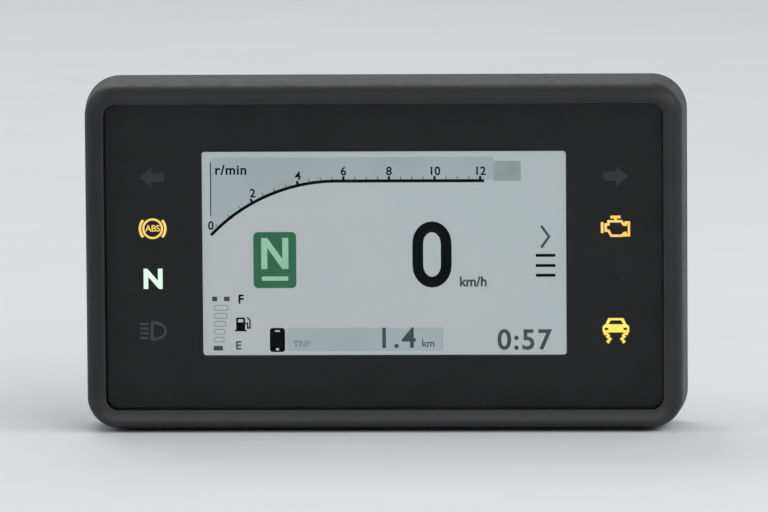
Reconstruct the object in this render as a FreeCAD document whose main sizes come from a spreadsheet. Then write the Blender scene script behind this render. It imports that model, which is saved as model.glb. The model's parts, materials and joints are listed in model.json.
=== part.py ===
"""Instrument cluster of a motorcycle: a sealed colour display with a column of warning lamps each side.

Frame: millimetres, +X to the rider's right, +Z up, +Y away from the rider. The origin is the centre of
the three threaded mounting bosses, on the plane of their ends. A "depth" is a distance ahead of that
plane, towards the rider, so a point at depth d lies at Y = -d.
"""

import FreeCAD, Part
import math
import os

import Sketcher
from FreeCAD import Vector

doc = FreeCAD.newDocument("instrument_cluster")

# ---------------------------------------------------------------------------------------------------
# Driving dimensions, in millimetres
# ---------------------------------------------------------------------------------------------------

SIZES = {
    # the face that the rider sees
    "screen_width": 93.0,
    "screen_height": 52.4,
    "screen_corner": 0.8,
    "screen_rise": 0.6,  # screen centre above the middle of the face
    "side_panel": 24.7,  # face on each side of the screen, which carries the lamps
    "brow": 12.9,  # face above and below a screen in its middle
    "face_radius": 3.0,
    "rim_width": 4.8,  # from the lens to the outer edge of the bezel
    "rim_round": 4.2,  # the bezel's soft front edge
    "lip_round": 0.25,  # the bezel's edge beside the lens
    "lamp_inset": 12.1,  # lamp column inside the face's side edge
    "lamp_pitch": 13.15,
    # casing
    "crest_depth": 36.0,  # mounting plane to the crest of the rim
    "bezel_depth": 20.0,  # crest of the rim to the parting line
    "skirt_flare": 1.3,  # how much further out each side is at the parting line
    "wall": 2.4,
    "reveal": 0.3,  # step between bezel and rear case at the parting line
    "base_depth": 8.0,  # parting line to the flat back
    "back_draft": 6.0,  # degrees
    "back_round": 1.2,
    "hump_width": 88.0,
    "hump_height": 54.0,
    "hump_depth": 5.0,  # how far the raised middle stands behind the flat back
    "hump_radius": 7.0,
    "hump_draft": 12.0,  # degrees
    "spigot_height": 2.0,  # rim of the rear case that enters the bezel
    "spigot_root": 3.0,  # how far it runs down the rear case's wall
    "spigot_thick": 1.5,
    "spigot_gap": 0.3,
    "seal_width": 1.0,
    "seal_depth": 0.8,
    "root_sink": 0.5,  # how far a post or lip reaches into the wall that carries it
    "rib_thick": 1.6,
    "rib_height": 1.6,
    "rib_pitch": 7.0,
    "rib_top": 14.0,  # height of the uppermost rib
    "rib_gap": 2.0,  # from the raised middle to the ribs
    "rib_margin": 6.0,  # ribs' outer ends inside the face's side edge
    # lens stack
    "lens_recess": 0.4,  # lens below the crest of the rim
    "lens_thick": 3.0,
    "lens_gap": 0.1,
    "lens_bevel": 0.35,
    "film_thick": 0.4,
    "film_inset": 0.3,
    "tape_thick": 0.3,
    "tape_width": 1.9,
    "ledge_width": 2.5,
    "ledge_thick": 2.0,
    # display module
    "side_border": 5.5,  # module beyond the screen, each side
    "top_border": 5.3,
    "bottom_border": 7.3,
    "module_depth": 5.2,
    "module_radius": 1.2,
    "module_gap": 0.2,
    "foam_thick": 1.0,
    "foam_width": 2.6,
    "foam_inset": 0.8,
    "frame_sheet": 0.4,
    "frame_window_margin": 1.2,  # frame's window outside the screen, each side
    "tray_gap": 0.1,
    "tray_floor": 0.6,
    "tray_wall": 0.9,
    "glass_inset": 1.5,
    "glass_thick": 0.7,
    "glass_ledge": 3.2,  # strip of the rear glass that carries the driver chip
    "driver_width": 20.0,
    "driver_height": 1.1,
    "driver_thick": 0.4,
    "driver_rise": 2.2,  # chip's centre above the glass's lower edge
    "diffuser_thick": 0.4,
    "guide_thick": 2.0,
    "guide_inset": 0.5,
    "guide_radius": 0.5,
    "light_bar_width": 1.6,  # strip beside the light guide for its LEDs
    "backlight_led_length": 3.0,
    "backlight_led_margin": 4.0,
    # inner frame
    "chassis_gap_x": 1.2,  # clear of the lens ledge
    "chassis_gap_z": 0.6,
    "chassis_radius": 4.0,
    "chassis_floor": 2.0,
    "chassis_rail": 7.0,  # floor left round the windows behind the display
    "chassis_bar": 6.0,  # bar between those windows
    "core_inset": 2.0,  # hollow behind the floor, inside the display's outline
    "tunnel_mouth": 9.6,
    "tunnel_throat": 6.0,
    "tunnel_radius": 0.8,
    "ear_radius": 2.8,
    "ear_thick": 2.0,
    "ear_set_back": 3.4,  # ear's face behind the lens ledge
    "ear_gap": 1.0,
    "ear_offset": 46.0,
    # board
    "board_inset": 0.8,
    "board_thick": 1.6,
    "board_set_back": 10.2,  # board behind the printed film
    "board_screw_inset_x": 6.5,  # inside the inner frame's outline
    "board_screw_inset_z": 5.5,
    "telltale_width": 3.2,
    "telltale_height": 2.8,
    "telltale_thick": 1.9,
    "sensor_side": 2.0,
    "sensor_thick": 1.0,
    "processor_side": 16.0,
    "processor_thick": 1.6,
    "processor_x": 32.0,
    "processor_z": -8.0,
    "memory_width": 8.0,
    "memory_height": 12.0,
    "memory_thick": 1.2,
    "memory_gap": 10.0,  # from the processor
    "memory_pitch": 16.0,
    "crystal_width": 5.0,
    "crystal_height": 3.2,
    "crystal_thick": 1.2,
    "crystal_gap": 2.4,  # from the processor
    "interface_width": 5.0,
    "interface_height": 6.0,
    "interface_thick": 1.6,
    "interface_pitch": 10.0,
    "interface_x": -34.0,
    "interface_z": -19.0,
    "radio_width": 12.0,
    "radio_height": 16.0,
    "radio_thick": 2.2,
    "radio_radius": 0.5,
    "radio_round": 0.4,
    "radio_x": -52.0,
    "radio_z": 10.0,
    "supply_z": 16.0,  # row of the inductor and the capacitors
    "inductor_side": 9.0,
    "inductor_thick": 4.5,
    "inductor_radius": 1.6,
    "inductor_bevel": 0.8,
    "inductor_x": 13.0,
    "capacitor_foot": 8.3,
    "capacitor_foot_thick": 1.0,
    "capacitor_foot_radius": 1.2,
    "capacitor_radius": 4.0,
    "capacitor_length": 8.2,
    "capacitor_round": 0.6,
    "capacitor_pitch": 11.0,
    "capacitor_x": -1.0,
    # screws
    "post_radius": 3.4,
    "post_merge": 0.2,  # how far a post in mid side runs into the wall
    "corner_post_gap": 0.5,
    "mid_post_offset": 23.0,
    "case_screw_shank": 1.4,
    "case_screw_head": 2.7,
    "case_screw_head_height": 2.0,
    "case_screw_engage": 8.0,
    "counterbore_floor": 3.0,  # plastic under a case screw's head
    "small_screw_shank": 1.1,
    "small_screw_head": 1.9,
    "small_screw_head_height": 1.5,
    "small_screw_engage": 3.5,
    "pilot_spare": 1.0,  # pilot hole beyond the screw's tip
    "small_pilot_spare": 0.5,
    "ear_post_radius": 2.3,
    "head_gap": 0.3,
    "small_hole_gap": 0.2,
    # mounting bosses
    "mount_circle": 66.0,  # diameter through the three bosses
    "boss_radius": 6.5,
    "boss_inside": 2.0,  # how far a boss stands proud of the flat wall's inside
    "insert_radius": 3.5,
    "insert_bore": 2.15,  # inside an M5 thread
    "insert_length": 8.0,
    "insert_groove": 0.5,
    "insert_spare": 1.0,
    "gusset_thick": 1.6,
    "gusset_reach": 4.0,
    "gusset_taper": 1.0,  # gusset's narrow end inside the boss
    "gusset_set_back": 1.5,  # gusset's narrow end short of the boss's end
    # wiring socket
    "socket_drop": 4.0,  # socket centre below the middle of the face
    "socket_width": 31.2,
    "socket_height": 13.2,
    "socket_radius": 1.0,
    "socket_wall": 1.6,
    "socket_depth": 12.0,
    "socket_proud": 3.0,  # mouth behind the mounting plane
    "socket_gap": 0.2,
    "collar_width": 2.5,  # raised collar round the socket
    "collar_height": 1.0,
    "flange_margin": 2.6,
    "flange_thick": 1.6,
    "flange_radius": 2.0,
    "flange_seal": 0.8,
    "flange_seal_inset": 0.6,
    "latch_width": 8.0,
    "latch_height": 1.4,
    "latch_lip": 0.35,  # height of the ramp's low end
    "latch_set_back": 1.0,
    "latch_length": 2.0,
    "key_width": 1.6,
    "key_height": 1.0,
    "key_length": 4.5,
    "key_left": -8.2,
    "key_right": 6.8,
    "pin_side": 0.64,
    "pin_point": 0.15,
    "pin_pitch": 2.5,
    "pin_rows_apart": 4.0,
    "pin_reach": 6.0,  # pin length inside the socket
    "pin_tail": 1.2,  # pin length past the board
    "pin_hole_gap": 0.1,
    # breather
    "vent_gap": 8.0,  # from the raised middle
    "vent_z": -23.0,
    "vent_radius": 6.0,
    "vent_recess": 1.0,
    "vent_hole": 2.2,
    "vent_cap_height": 2.4,
    "vent_cap_round": 0.7,
    "vent_chamber": 0.8,
    "vent_slot_width": 1.6,
    "vent_slot_depth": 1.4,
    "membrane_radius": 4.4,
    "membrane_thick": 0.3,
    "membrane_gap": 0.3,
    # flat cable
    "flex_width": 28.0,
    "flex_thick": 0.2,
    "flex_bend": 1.2,
    "flex_bond": 1.0,  # overlap on the glass
    "flex_gap": 0.6,  # round the cable, and from the module to its bend
    "flex_slack": 3.0,  # straight stretch below the socket
    "flex_entry": 1.5,
    "flex_socket_height": 5.0,
    "flex_socket_depth": 2.0,
    "flex_socket_border": 2.0,
    "flex_socket_radius": 0.4,
}
PIN_COLUMNS = 10
PIN_ROWS = 2
LAMP_ROWS = 4
SENSOR_ROW = 2  # counted from 0 at the top; the right column has the light sensor there
RIB_COUNT = 4
BOSS_COUNT = 3
INSERT_BANDS = 3
BACKLIGHT_LED_COUNT = 9
SIDES = (-1, 1)
# a screw's proportions: point and recess as shares of the radius, bevel and depth of the head's height
SCREW_POINT = 0.5
RECESS_ARM = 0.52
RECESS_SLIT = 0.14
RECESS_DEPTH = 0.6
HEAD_BEVEL = 0.33
LEVEL = 1e-4  # how closely an edge must keep to its depth

sheet = doc.addObject("Spreadsheet::Sheet", "sizes")


class Size:
    """A number, and the expression over the sheet that keeps a feature bound to it."""

    def __init__(self, text, value):
        self.text = text
        self.value = value

    def __add__(self, other):
        other = as_size(other)
        return Size(f"({self.text} + {other.text})", self.value + other.value)

    def __sub__(self, other):
        other = as_size(other)
        return Size(f"({self.text} - {other.text})", self.value - other.value)

    def __mul__(self, other):
        other = as_size(other)
        return Size(f"({self.text} * {other.text})", self.value * other.value)

    def __truediv__(self, other):
        other = as_size(other)
        return Size(f"({self.text} / {other.text})", self.value / other.value)

    def __neg__(self):
        return self * -1


def as_size(number):
    return number if isinstance(number, Size) else Size(repr(float(number)), float(number))


def slope(rise, run):
    """The angle, in degrees, of a draft that gains rise over run."""
    return Size(f"atan({rise.text} / {run.text})", math.degrees(math.atan(rise.value / run.value)))


class Sheet:
    """Each driving dimension by its name."""


s = Sheet()
for number, (alias, value) in enumerate(SIZES.items(), start=1):
    sheet.set(f"A{number}", alias)
    sheet.set(f"B{number}", str(value))
    sheet.setAlias(f"B{number}", alias)
    setattr(s, alias, Size(f"sizes.{alias}", value))
doc.recompute()

# ---------------------------------------------------------------------------------------------------
# Depths, outlines and places that several pieces share
# ---------------------------------------------------------------------------------------------------

# depths, from the rider backwards
seam = s.crest_depth - s.bezel_depth
lens_front = s.crest_depth - s.lens_recess
lens_back = lens_front - s.lens_thick
film_back = lens_back - s.film_thick
tape_back = film_back - s.tape_thick
ledge_back = tape_back - s.ledge_thick
module_front = film_back - s.foam_thick
module_back = module_front - s.module_depth
frame_inside = module_front - s.frame_sheet
front_glass_back = frame_inside - s.glass_thick
rear_glass_back = front_glass_back - s.glass_thick
diffuser_back = rear_glass_back - s.diffuser_thick
guide_back = diffuser_back - s.guide_thick
tray_floor_front = module_back + s.tray_floor
ear_front = ledge_back - s.ear_set_back
ear_back = ear_front - s.ear_thick
board_front = film_back - s.board_set_back
board_back = board_front - s.board_thick
flat_back = seam - s.base_depth
flat_inside = flat_back + s.wall
hump_back = flat_back - s.hump_depth
hump_inside = hump_back + s.wall
flange_back = hump_inside + s.flange_seal
socket_mouth = -s.socket_proud
socket_floor = socket_mouth + s.socket_depth
pin_tip = socket_floor - s.pin_reach
vent_floor = flat_back + s.vent_recess

# outlines, as width, height and corner radius
face_width = s.screen_width + s.side_panel * 2
face_height = s.screen_height + s.brow * 2
seam_width = face_width + (s.rim_width + s.skirt_flare) * 2
seam_height = face_height + (s.rim_width + s.skirt_flare) * 2
seam_radius = s.face_radius + s.rim_width + s.skirt_flare
skirt_draft = -slope(s.skirt_flare, s.bezel_depth)
seam_outline = (seam_width, seam_height, seam_radius)
face_outline = (face_width, face_height, s.face_radius)
chassis_width = face_width - (s.ledge_width + s.chassis_gap_x) * 2
chassis_height = face_height - (s.ledge_width + s.chassis_gap_z) * 2
module_width = s.screen_width + s.side_border * 2
module_height = s.screen_height + s.top_border + s.bottom_border
module_z = s.screen_rise + (s.top_border - s.bottom_border) / 2
module_outline = (module_width, module_height, s.module_radius)
glass_width = module_width - s.glass_inset * 2
glass_height = module_height - s.glass_inset * 2
glass_low = module_z - glass_height / 2
guide_width = glass_width - s.light_bar_width * 2
guide_height = glass_height - s.guide_inset * 2
socket_z = -s.socket_drop
socket_outline = (s.socket_width, s.socket_height, s.socket_radius)


def inset(outline, distance):
    """An outline moved inwards all round, with its corners kept concentric."""
    width, height, radius = outline
    return (width - distance * 2, height - distance * 2, radius - distance)


def outset(outline, distance):
    width, height, radius = outline
    return (width + distance * 2, height + distance * 2, radius + distance)


def mirrored(x, z):
    """The four places at plus and minus x and z."""
    return [(x * i, z * k) for i in SIDES for k in SIDES]


back_outline = inset(seam_outline, s.reveal)
corner_post_inset = s.wall + s.post_radius + s.corner_post_gap
corner_posts = mirrored(seam_width / 2 - corner_post_inset, seam_height / 2 - corner_post_inset)
mid_post_z = seam_height / 2 - s.wall - s.post_radius + s.post_merge
post_places = corner_posts + mirrored(s.mid_post_offset, mid_post_z)
ear_places = mirrored(s.ear_offset, seam_height / 2 - s.wall - s.ear_gap - s.ear_radius)
board_screw_places = mirrored(
    chassis_width / 2 - s.board_screw_inset_x, chassis_height / 2 - s.board_screw_inset_z
)
lamp_x = face_width / 2 - s.lamp_inset
vent_x = s.hump_width / 2 + s.vent_gap + s.vent_radius
flex_bend_z = module_z - module_height / 2 - s.flex_gap - s.flex_bend
flex_socket_low = flex_bend_z + s.flex_bend + s.flex_slack
flex_socket_z = flex_socket_low + s.flex_socket_height / 2


def lamp_z(row):
    """Height of a lamp, counted from 0 at the top. The columns are level with the screen."""
    return s.screen_rise + s.lamp_pitch * ((LAMP_ROWS - 1) / 2 - row)


def mount_places():
    """Centres of the mounting bosses, spaced evenly from the lowest one."""
    angles = [360 * i / BOSS_COUNT - 90 for i in range(BOSS_COUNT)]
    radius = s.mount_circle / 2
    return [(radius * math.cos(math.radians(a)), radius * math.sin(math.radians(a))) for a in angles]


pin_spread_x = s.pin_pitch * (PIN_COLUMNS - 1)
pin_spread_z = s.pin_rows_apart * (PIN_ROWS - 1)


# ---------------------------------------------------------------------------------------------------
# Sketch and feature helpers
# ---------------------------------------------------------------------------------------------------


def bind(feature, prop, value):
    """Sets a feature's property to an expression over the sheet."""
    feature.setExpression(prop, as_size(value).text)


def new_body(label):
    body = doc.addObject("PartDesign::Body", label)
    body.Label = label
    return body


def origin_feature(body, role):
    return next(f for f in body.Origin.OriginFeatures if f.Role == role)


def new_sketch(body, depth, plane="XZ_Plane"):
    """A sketch that faces the rider, at a depth. On the YZ plane, the depth is a distance along X."""
    sketch = body.newObject("Sketcher::SketchObject", "outline")
    sketch.AttachmentSupport = [(origin_feature(body, plane), "")]
    sketch.MapMode = "FlatFace"
    bind(sketch, "AttachmentOffset.Base.z", depth)
    return sketch


def constrain(sketch, relations, values):
    """Adds relations, and then values: each a kind, what it measures, and its size."""
    kinds = [Sketcher.Constraint(kind, *measured, value.value) for kind, *measured, value in values]
    first = sketch.ConstraintCount + len(relations)
    sketch.addConstraint(relations + kinds)
    for index, (*_, value) in enumerate(values, start=first):
        bind(sketch, f"Constraints[{index}]", value)


def add_polygon(sketch, points):
    """A closed outline of straight lines through points that are all pinned down."""
    corners = [(as_size(x), as_size(z)) for x, z in points]
    first = sketch.GeometryCount
    count = len(corners)
    spots = [Vector(x.value, z.value, 0) for x, z in corners]
    lines = [Part.LineSegment(spots[i], spots[(i + 1) % count]) for i in range(count)]
    sketch.addGeometry(lines, False)
    joints = []
    places = []
    for i, (x, z) in enumerate(corners):
        following = first + (i + 1) % count
        joints.append(Sketcher.Constraint("Coincident", first + i, 2, following, 1))
        places.append(("DistanceX", -1, 1, first + i, 1, x))
        places.append(("DistanceY", -1, 1, first + i, 1, z))
    constrain(sketch, joints, places)


def add_rectangle(sketch, left, right, low, high):
    left, right, low, high = (as_size(v) for v in (left, right, low, high))
    first = sketch.GeometryCount
    across = [left, right, right, left]
    up = [low, low, high, high]
    spots = [Vector(x.value, z.value, 0) for x, z in zip(across, up)]
    sketch.addGeometry([Part.LineSegment(spots[i], spots[(i + 1) % 4]) for i in range(4)], False)
    relations = []
    for i in range(4):
        relations.append(Sketcher.Constraint("Coincident", first + i, 2, first + (i + 1) % 4, 1))
        relations.append(Sketcher.Constraint("Horizontal" if i % 2 == 0 else "Vertical", first + i))
    values = [
        ("DistanceX", -1, 1, first, 1, left),
        ("DistanceY", -1, 1, first, 1, low),
        ("DistanceX", -1, 1, first + 2, 1, right),
        ("DistanceY", -1, 1, first + 2, 1, high),
    ]
    constrain(sketch, relations, values)


def add_rounded(sketch, left, right, low, high, radius):
    """A rectangle with four equal round corners."""
    left, right, low, high, radius = (as_size(v) for v in (left, right, low, high, radius))
    x0, x1, z0, z1, r = left.value, right.value, low.value, high.value, radius.value
    sides = [
        ((x0 + r, z0), (x1 - r, z0), (x1 - r, z0 + r)),
        ((x1, z0 + r), (x1, z1 - r), (x1 - r, z1 - r)),
        ((x1 - r, z1), (x0 + r, z1), (x0 + r, z1 - r)),
        ((x0, z1 - r), (x0, z0 + r), (x0 + r, z0 + r)),
    ]
    first = sketch.GeometryCount
    shapes = []
    relations = []
    for quarter, (start, end, centre) in enumerate(sides):
        circle = Part.Circle(Vector(*centre, 0), Vector(0, 0, 1), r)
        begin = math.radians(90 * (quarter - 1))
        shapes.append(Part.LineSegment(Vector(*start, 0), Vector(*end, 0)))
        shapes.append(Part.ArcOfCircle(circle, begin, begin + math.pi / 2))
        line = first + 2 * quarter
        arc = line + 1
        following = first + (2 * quarter + 2) % 8
        relations.append(Sketcher.Constraint("Tangent", line, 2, arc, 1))
        relations.append(Sketcher.Constraint("Tangent", arc, 2, following, 1))
        relations.append(Sketcher.Constraint("Horizontal" if quarter % 2 == 0 else "Vertical", line))
        if quarter:
            relations.append(Sketcher.Constraint("Equal", first + 1, arc))
    sketch.addGeometry(shapes, False)
    values = [
        ("Radius", first + 1, radius),
        ("DistanceY", -1, 1, first, 1, low),
        ("DistanceX", -1, 1, first + 2, 1, right),
        ("DistanceY", -1, 1, first + 4, 1, high),
        ("DistanceX", -1, 1, first + 6, 1, left),
    ]
    constrain(sketch, relations, values)


def add_outline(sketch, outline, x=0.0, z=0.0):
    """A rounded rectangle of a width, height and radius, about a centre."""
    width, height, radius = outline
    half_x, half_z = as_size(width) / 2, as_size(height) / 2
    x, z = as_size(x), as_size(z)
    add_rounded(sketch, x - half_x, x + half_x, z - half_z, z + half_z, radius)


def add_circle(sketch, x, z, radius):
    x, z, radius = as_size(x), as_size(z), as_size(radius)
    circle = Part.Circle(Vector(x.value, z.value, 0), Vector(0, 0, 1), radius.value)
    circle_id = sketch.addGeometry(circle, False)
    values = [
        ("DistanceX", -1, 1, circle_id, 3, x),
        ("DistanceY", -1, 1, circle_id, 3, z),
        ("Radius", circle_id, radius),
    ]
    constrain(sketch, [], values)


def circle_sketch(body, depth, places, *radii):
    """Circles at each place. Two radii make rings."""
    sketch = new_sketch(body, depth)
    for x, z in places:
        for radius in radii:
            add_circle(sketch, x, z, radius)
    return sketch


def check_change(body, feature, gains):
    """Recomputes, and stops if the feature failed or changed nothing."""
    before = feature.BaseFeature.Shape.Volume if feature.BaseFeature else 0.0
    doc.recompute()
    if not feature.isValid():
        raise RuntimeError(f"{body.Label}: {feature.Name}: {feature.getStatusString()}")
    change = feature.Shape.Volume - before
    if change <= 0 if gains else change >= 0:
        raise RuntimeError(f"{body.Label}: {feature.Name} changed the volume by {change:.3f}")
    return feature


def pad(body, sketch, length, rearward=False, midplane=False, taper=None):
    """Adds material from a sketch towards the rider, rearward, or half each way."""
    feature = body.newObject("PartDesign::Pad", "pad")
    feature.Profile = sketch
    feature.Reversed = rearward
    feature.Midplane = midplane
    bind(feature, "Length", length)
    if taper is not None:
        bind(feature, "TaperAngle", taper)
    return check_change(body, feature, gains=True)


def pocket(body, sketch, length=None, forward=False, taper=None):
    """Cuts from a sketch rearward, or forward. With no length, it cuts right through."""
    feature = body.newObject("PartDesign::Pocket", "pocket")
    feature.Profile = sketch
    feature.Reversed = forward
    if length is None:
        feature.Type = "ThroughAll"
    else:
        bind(feature, "Length", length)
    if taper is not None:
        bind(feature, "TaperAngle", taper)
    return check_change(body, feature, gains=False)


def repeat(body, feature, down, rows, across=0, columns=1):
    """Repeats a feature downwards, and if asked also to the right, over the given extents."""
    pattern = body.newObject("PartDesign::LinearPattern", "grid")
    pattern.Originals = [feature]
    pattern.Direction = (origin_feature(body, "Z_Axis"), [""])
    pattern.Reversed = True
    bind(pattern, "Length", down)
    pattern.Occurrences = rows
    if columns > 1:
        pattern.Direction2 = (origin_feature(body, "X_Axis"), [""])
        bind(pattern, "Length2", across)
        pattern.Occurrences2 = columns
    body.Tip = pattern
    doc.recompute()
    if not pattern.isValid() or abs(pattern.Shape.Volume - feature.Shape.Volume) < LEVEL:
        raise RuntimeError(f"{body.Label}: {pattern.Name} repeated nothing")


def at_depth(depth, within=None):
    """A test for the edges at a depth and, if given, inside an outline about the middle."""

    def test(edge):
        box = edge.BoundBox
        level = abs(box.YMin + depth.value) < LEVEL and abs(box.YMax + depth.value) < LEVEL
        if not level or within is None:
            return level
        half_x, half_z = within[0].value / 2, within[1].value / 2
        reach_x = max(abs(box.XMin), abs(box.XMax))
        reach_z = max(abs(box.ZMin), abs(box.ZMax))
        return reach_x < half_x and reach_z < half_z

    return test


def dress(body, kind, amount, test):
    """A fillet or chamfer on the edges of the body that pass a test."""
    base = body.Tip
    names = [f"Edge{i}" for i, edge in enumerate(base.Shape.Edges, start=1) if test(edge)]
    if not names:
        raise RuntimeError(f"{body.Label}: no edge for the {kind}")
    feature = body.newObject(f"PartDesign::{kind}", kind.lower())
    feature.Base = (base, names)
    bind(feature, "Radius" if kind == "Fillet" else "Size", amount)
    doc.recompute()
    if not feature.isValid():
        raise RuntimeError(f"{body.Label}: {kind}: {feature.getStatusString()}")
    return feature


def blocks(label, width, height, low, high, places, radius=None):
    """One equal block at each place, between two depths."""
    body = new_body(label)
    sketch = new_sketch(body, low)
    half_x, half_z = as_size(width) / 2, as_size(height) / 2
    for x, z in places:
        if radius is None:
            x, z = as_size(x), as_size(z)
            add_rectangle(sketch, x - half_x, x + half_x, z - half_z, z + half_z)
        else:
            add_outline(sketch, (width, height, radius), x, z)
    pad(body, sketch, high - low)
    return body


def flat_ring(label, low, high, outer, inner, z=0.0, inner_z=None):
    """A frame between two depths, from an outer and an inner outline."""
    body = new_body(label)
    sketch = new_sketch(body, low)
    add_outline(sketch, outer, 0, z)
    add_outline(sketch, inner, 0, z if inner_z is None else inner_z)
    pad(body, sketch, high - low)
    return body


# ---------------------------------------------------------------------------------------------------
# Casing
# ---------------------------------------------------------------------------------------------------


def make_front_bezel():
    """The frame round the face: a soft front edge, drafted skirt, lens seat and screw posts."""
    body = new_body("front_bezel")
    skirt = new_sketch(body, seam)
    add_outline(skirt, seam_outline)
    pad(body, skirt, s.bezel_depth, taper=skirt_draft)
    dress(body, "Fillet", s.rim_round, at_depth(s.crest_depth))

    rebate = new_sketch(body, s.crest_depth)
    add_outline(rebate, outset(face_outline, s.lens_gap))
    pocket(body, rebate, s.crest_depth - tape_back)
    lip = outset(face_outline, s.lens_gap * 2)
    dress(body, "Fillet", s.lip_round, at_depth(s.crest_depth, within=lip))
    window = new_sketch(body, s.crest_depth)
    ledge = s.ledge_width * 2
    add_outline(window, (face_width - ledge, face_height - ledge, s.face_radius))
    pocket(body, window)
    cavity = new_sketch(body, seam)
    add_outline(cavity, inset(seam_outline, s.wall))
    pocket(body, cavity, ledge_back - seam, forward=True, taper=skirt_draft)

    pad(body, circle_sketch(body, seam, post_places, s.post_radius), ledge_back - seam)
    pilots = circle_sketch(body, seam, post_places, s.case_screw_shank)
    pocket(body, pilots, s.case_screw_engage + s.pilot_spare, forward=True)
    ear_posts = circle_sketch(body, ear_front, ear_places, s.ear_post_radius)
    pad(body, ear_posts, s.ear_set_back)
    ear_pilots = circle_sketch(body, ear_front, ear_places, s.small_screw_shank)
    pocket(body, ear_pilots, s.small_screw_engage + s.small_pilot_spare, forward=True)
    return body


def make_rear_case():
    """The back shell: flat back, raised middle, three mounting bosses, screw posts and openings."""
    body = new_body("rear_case")
    base = new_sketch(body, seam)
    add_outline(base, back_outline)
    pad(body, base, s.base_depth, rearward=True, taper=-s.back_draft)
    hump = new_sketch(body, flat_back)
    hump_outline = (s.hump_width, s.hump_height, s.hump_radius)
    add_outline(hump, hump_outline)
    pad(body, hump, s.hump_depth, rearward=True, taper=-s.hump_draft)
    dress(body, "Fillet", s.back_round, at_depth(hump_back))
    dress(body, "Fillet", s.back_round, at_depth(flat_back))

    cavity = new_sketch(body, seam)
    add_outline(cavity, inset(back_outline, s.wall))
    pocket(body, cavity, s.base_depth - s.wall, taper=-s.back_draft)
    hollow = new_sketch(body, flat_inside)
    add_outline(hollow, inset(hump_outline, s.wall))
    pocket(body, hollow, s.hump_depth, taper=-s.hump_draft)

    add_spigot(body)
    post_root = flat_inside - s.root_sink
    pad(body, circle_sketch(body, post_root, post_places, s.post_radius), seam - post_root)
    groove = new_sketch(body, seam)
    for outline in seal_outlines():
        add_outline(groove, outline)
    pocket(body, groove, s.seal_depth)
    pocket(body, circle_sketch(body, seam, post_places, s.case_screw_shank + s.head_gap))
    counterbores = circle_sketch(body, flat_back, post_places, s.case_screw_head + s.head_gap)
    pocket(body, counterbores, seam - s.counterbore_floor - flat_back, forward=True)

    add_mount_bosses(body)
    add_back_ribs(body)
    add_socket_opening(body)
    vent = [(vent_x, s.vent_z)]
    seat = circle_sketch(body, flat_back, vent, s.vent_radius + s.head_gap)
    pocket(body, seat, s.vent_recess, forward=True)
    pocket(body, circle_sketch(body, flat_back, vent, s.vent_hole), s.wall, forward=True)
    return body


def add_spigot(body):
    """The rim that enters the bezel, cut away where the bezel's posts come down."""
    outer = inset(seam_outline, s.wall + s.spigot_gap)
    inner = inset(outer, s.spigot_thick)
    root = new_sketch(body, seam - s.spigot_root)
    add_outline(root, inset(back_outline, s.wall / 2))
    add_outline(root, inner)
    pad(body, root, s.spigot_root)
    rim = new_sketch(body, seam)
    add_outline(rim, outer)
    add_outline(rim, inner)
    pad(body, rim, s.spigot_height)
    notches = circle_sketch(body, seam, post_places, s.post_radius + s.spigot_gap)
    pocket(body, notches, s.spigot_height, forward=True)


def seal_outlines():
    """Outer and inner outline of the seal, in the middle of the rear case's wall."""
    to_outer = (s.wall - s.seal_width) / 2
    return inset(back_outline, to_outer), inset(back_outline, to_outer + s.seal_width)


def add_mount_bosses(body):
    """The lowest boss with its fin, repeated round the origin, and the pockets for the inserts."""
    lowest = s.mount_circle / -2
    boss = pad(body, circle_sketch(body, 0, [(0, lowest)], s.boss_radius), flat_inside + s.boss_inside)
    root = -(flat_back + s.root_sink)
    tip = -s.gusset_set_back
    wide = s.boss_radius + s.gusset_reach
    narrow = s.boss_radius - s.gusset_taper
    fin = new_sketch(body, 0, "YZ_Plane")
    add_polygon(
        fin,
        [
            (root, lowest - wide),
            (root, lowest + wide),
            (tip, lowest + narrow),
            (tip, lowest - narrow),
        ],
    )
    gusset = pad(body, fin, s.gusset_thick, midplane=True)
    pattern = body.newObject("PartDesign::PolarPattern", "bosses")
    pattern.Originals = [boss, gusset]
    pattern.Axis = (origin_feature(body, "Y_Axis"), [""])
    pattern.Angle = 360
    pattern.Occurrences = BOSS_COUNT
    body.Tip = pattern
    doc.recompute()
    holes = circle_sketch(body, 0, mount_places(), s.insert_radius)
    pocket(body, holes, s.insert_length + s.insert_spare, forward=True)


def add_back_ribs(body):
    """Stiffening ribs on the flat back, each side of the raised middle."""
    near = s.hump_width / 2 + s.rib_gap
    far = face_width / 2 - s.rib_margin
    half = s.rib_thick / 2
    for left, right in ((-far, -near), (near, far)):
        rib = new_sketch(body, flat_back + s.root_sink)
        add_rectangle(rib, left, right, s.rib_top - half, s.rib_top + half)
        first = pad(body, rib, s.rib_height + s.root_sink, rearward=True)
        repeat(body, first, s.rib_pitch * (RIB_COUNT - 1), RIB_COUNT)


def add_socket_opening(body):
    """The hole for the wiring socket, with a raised collar round it."""
    opening = outset(socket_outline, s.socket_gap)
    collar_root = hump_back + s.root_sink
    collar = new_sketch(body, collar_root)
    add_outline(collar, outset(opening, s.collar_width), 0, socket_z)
    pad(body, collar, s.collar_height + s.root_sink, rearward=True)
    hole = new_sketch(body, flange_back)
    add_outline(hole, opening, 0, socket_z)
    pocket(body, hole)


def make_case_seal():
    outer, inner = seal_outlines()
    return flat_ring("case_seal", seam - s.seal_depth, seam, outer, inner)


def make_mount_inserts():
    """Brass inserts for M5 screws, each with two grooves that the plastic grips."""
    body = new_body("mount_inserts")
    places = mount_places()
    core = s.insert_radius - s.insert_groove
    pad(body, circle_sketch(body, 0, places, core, s.insert_bore), s.insert_length)
    band = s.insert_length / (INSERT_BANDS * 2 - 1)
    for number in range(INSERT_BANDS):
        ring = circle_sketch(body, band * 2 * number, places, s.insert_radius, s.insert_bore)
        pad(body, ring, band)
    return body


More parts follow.
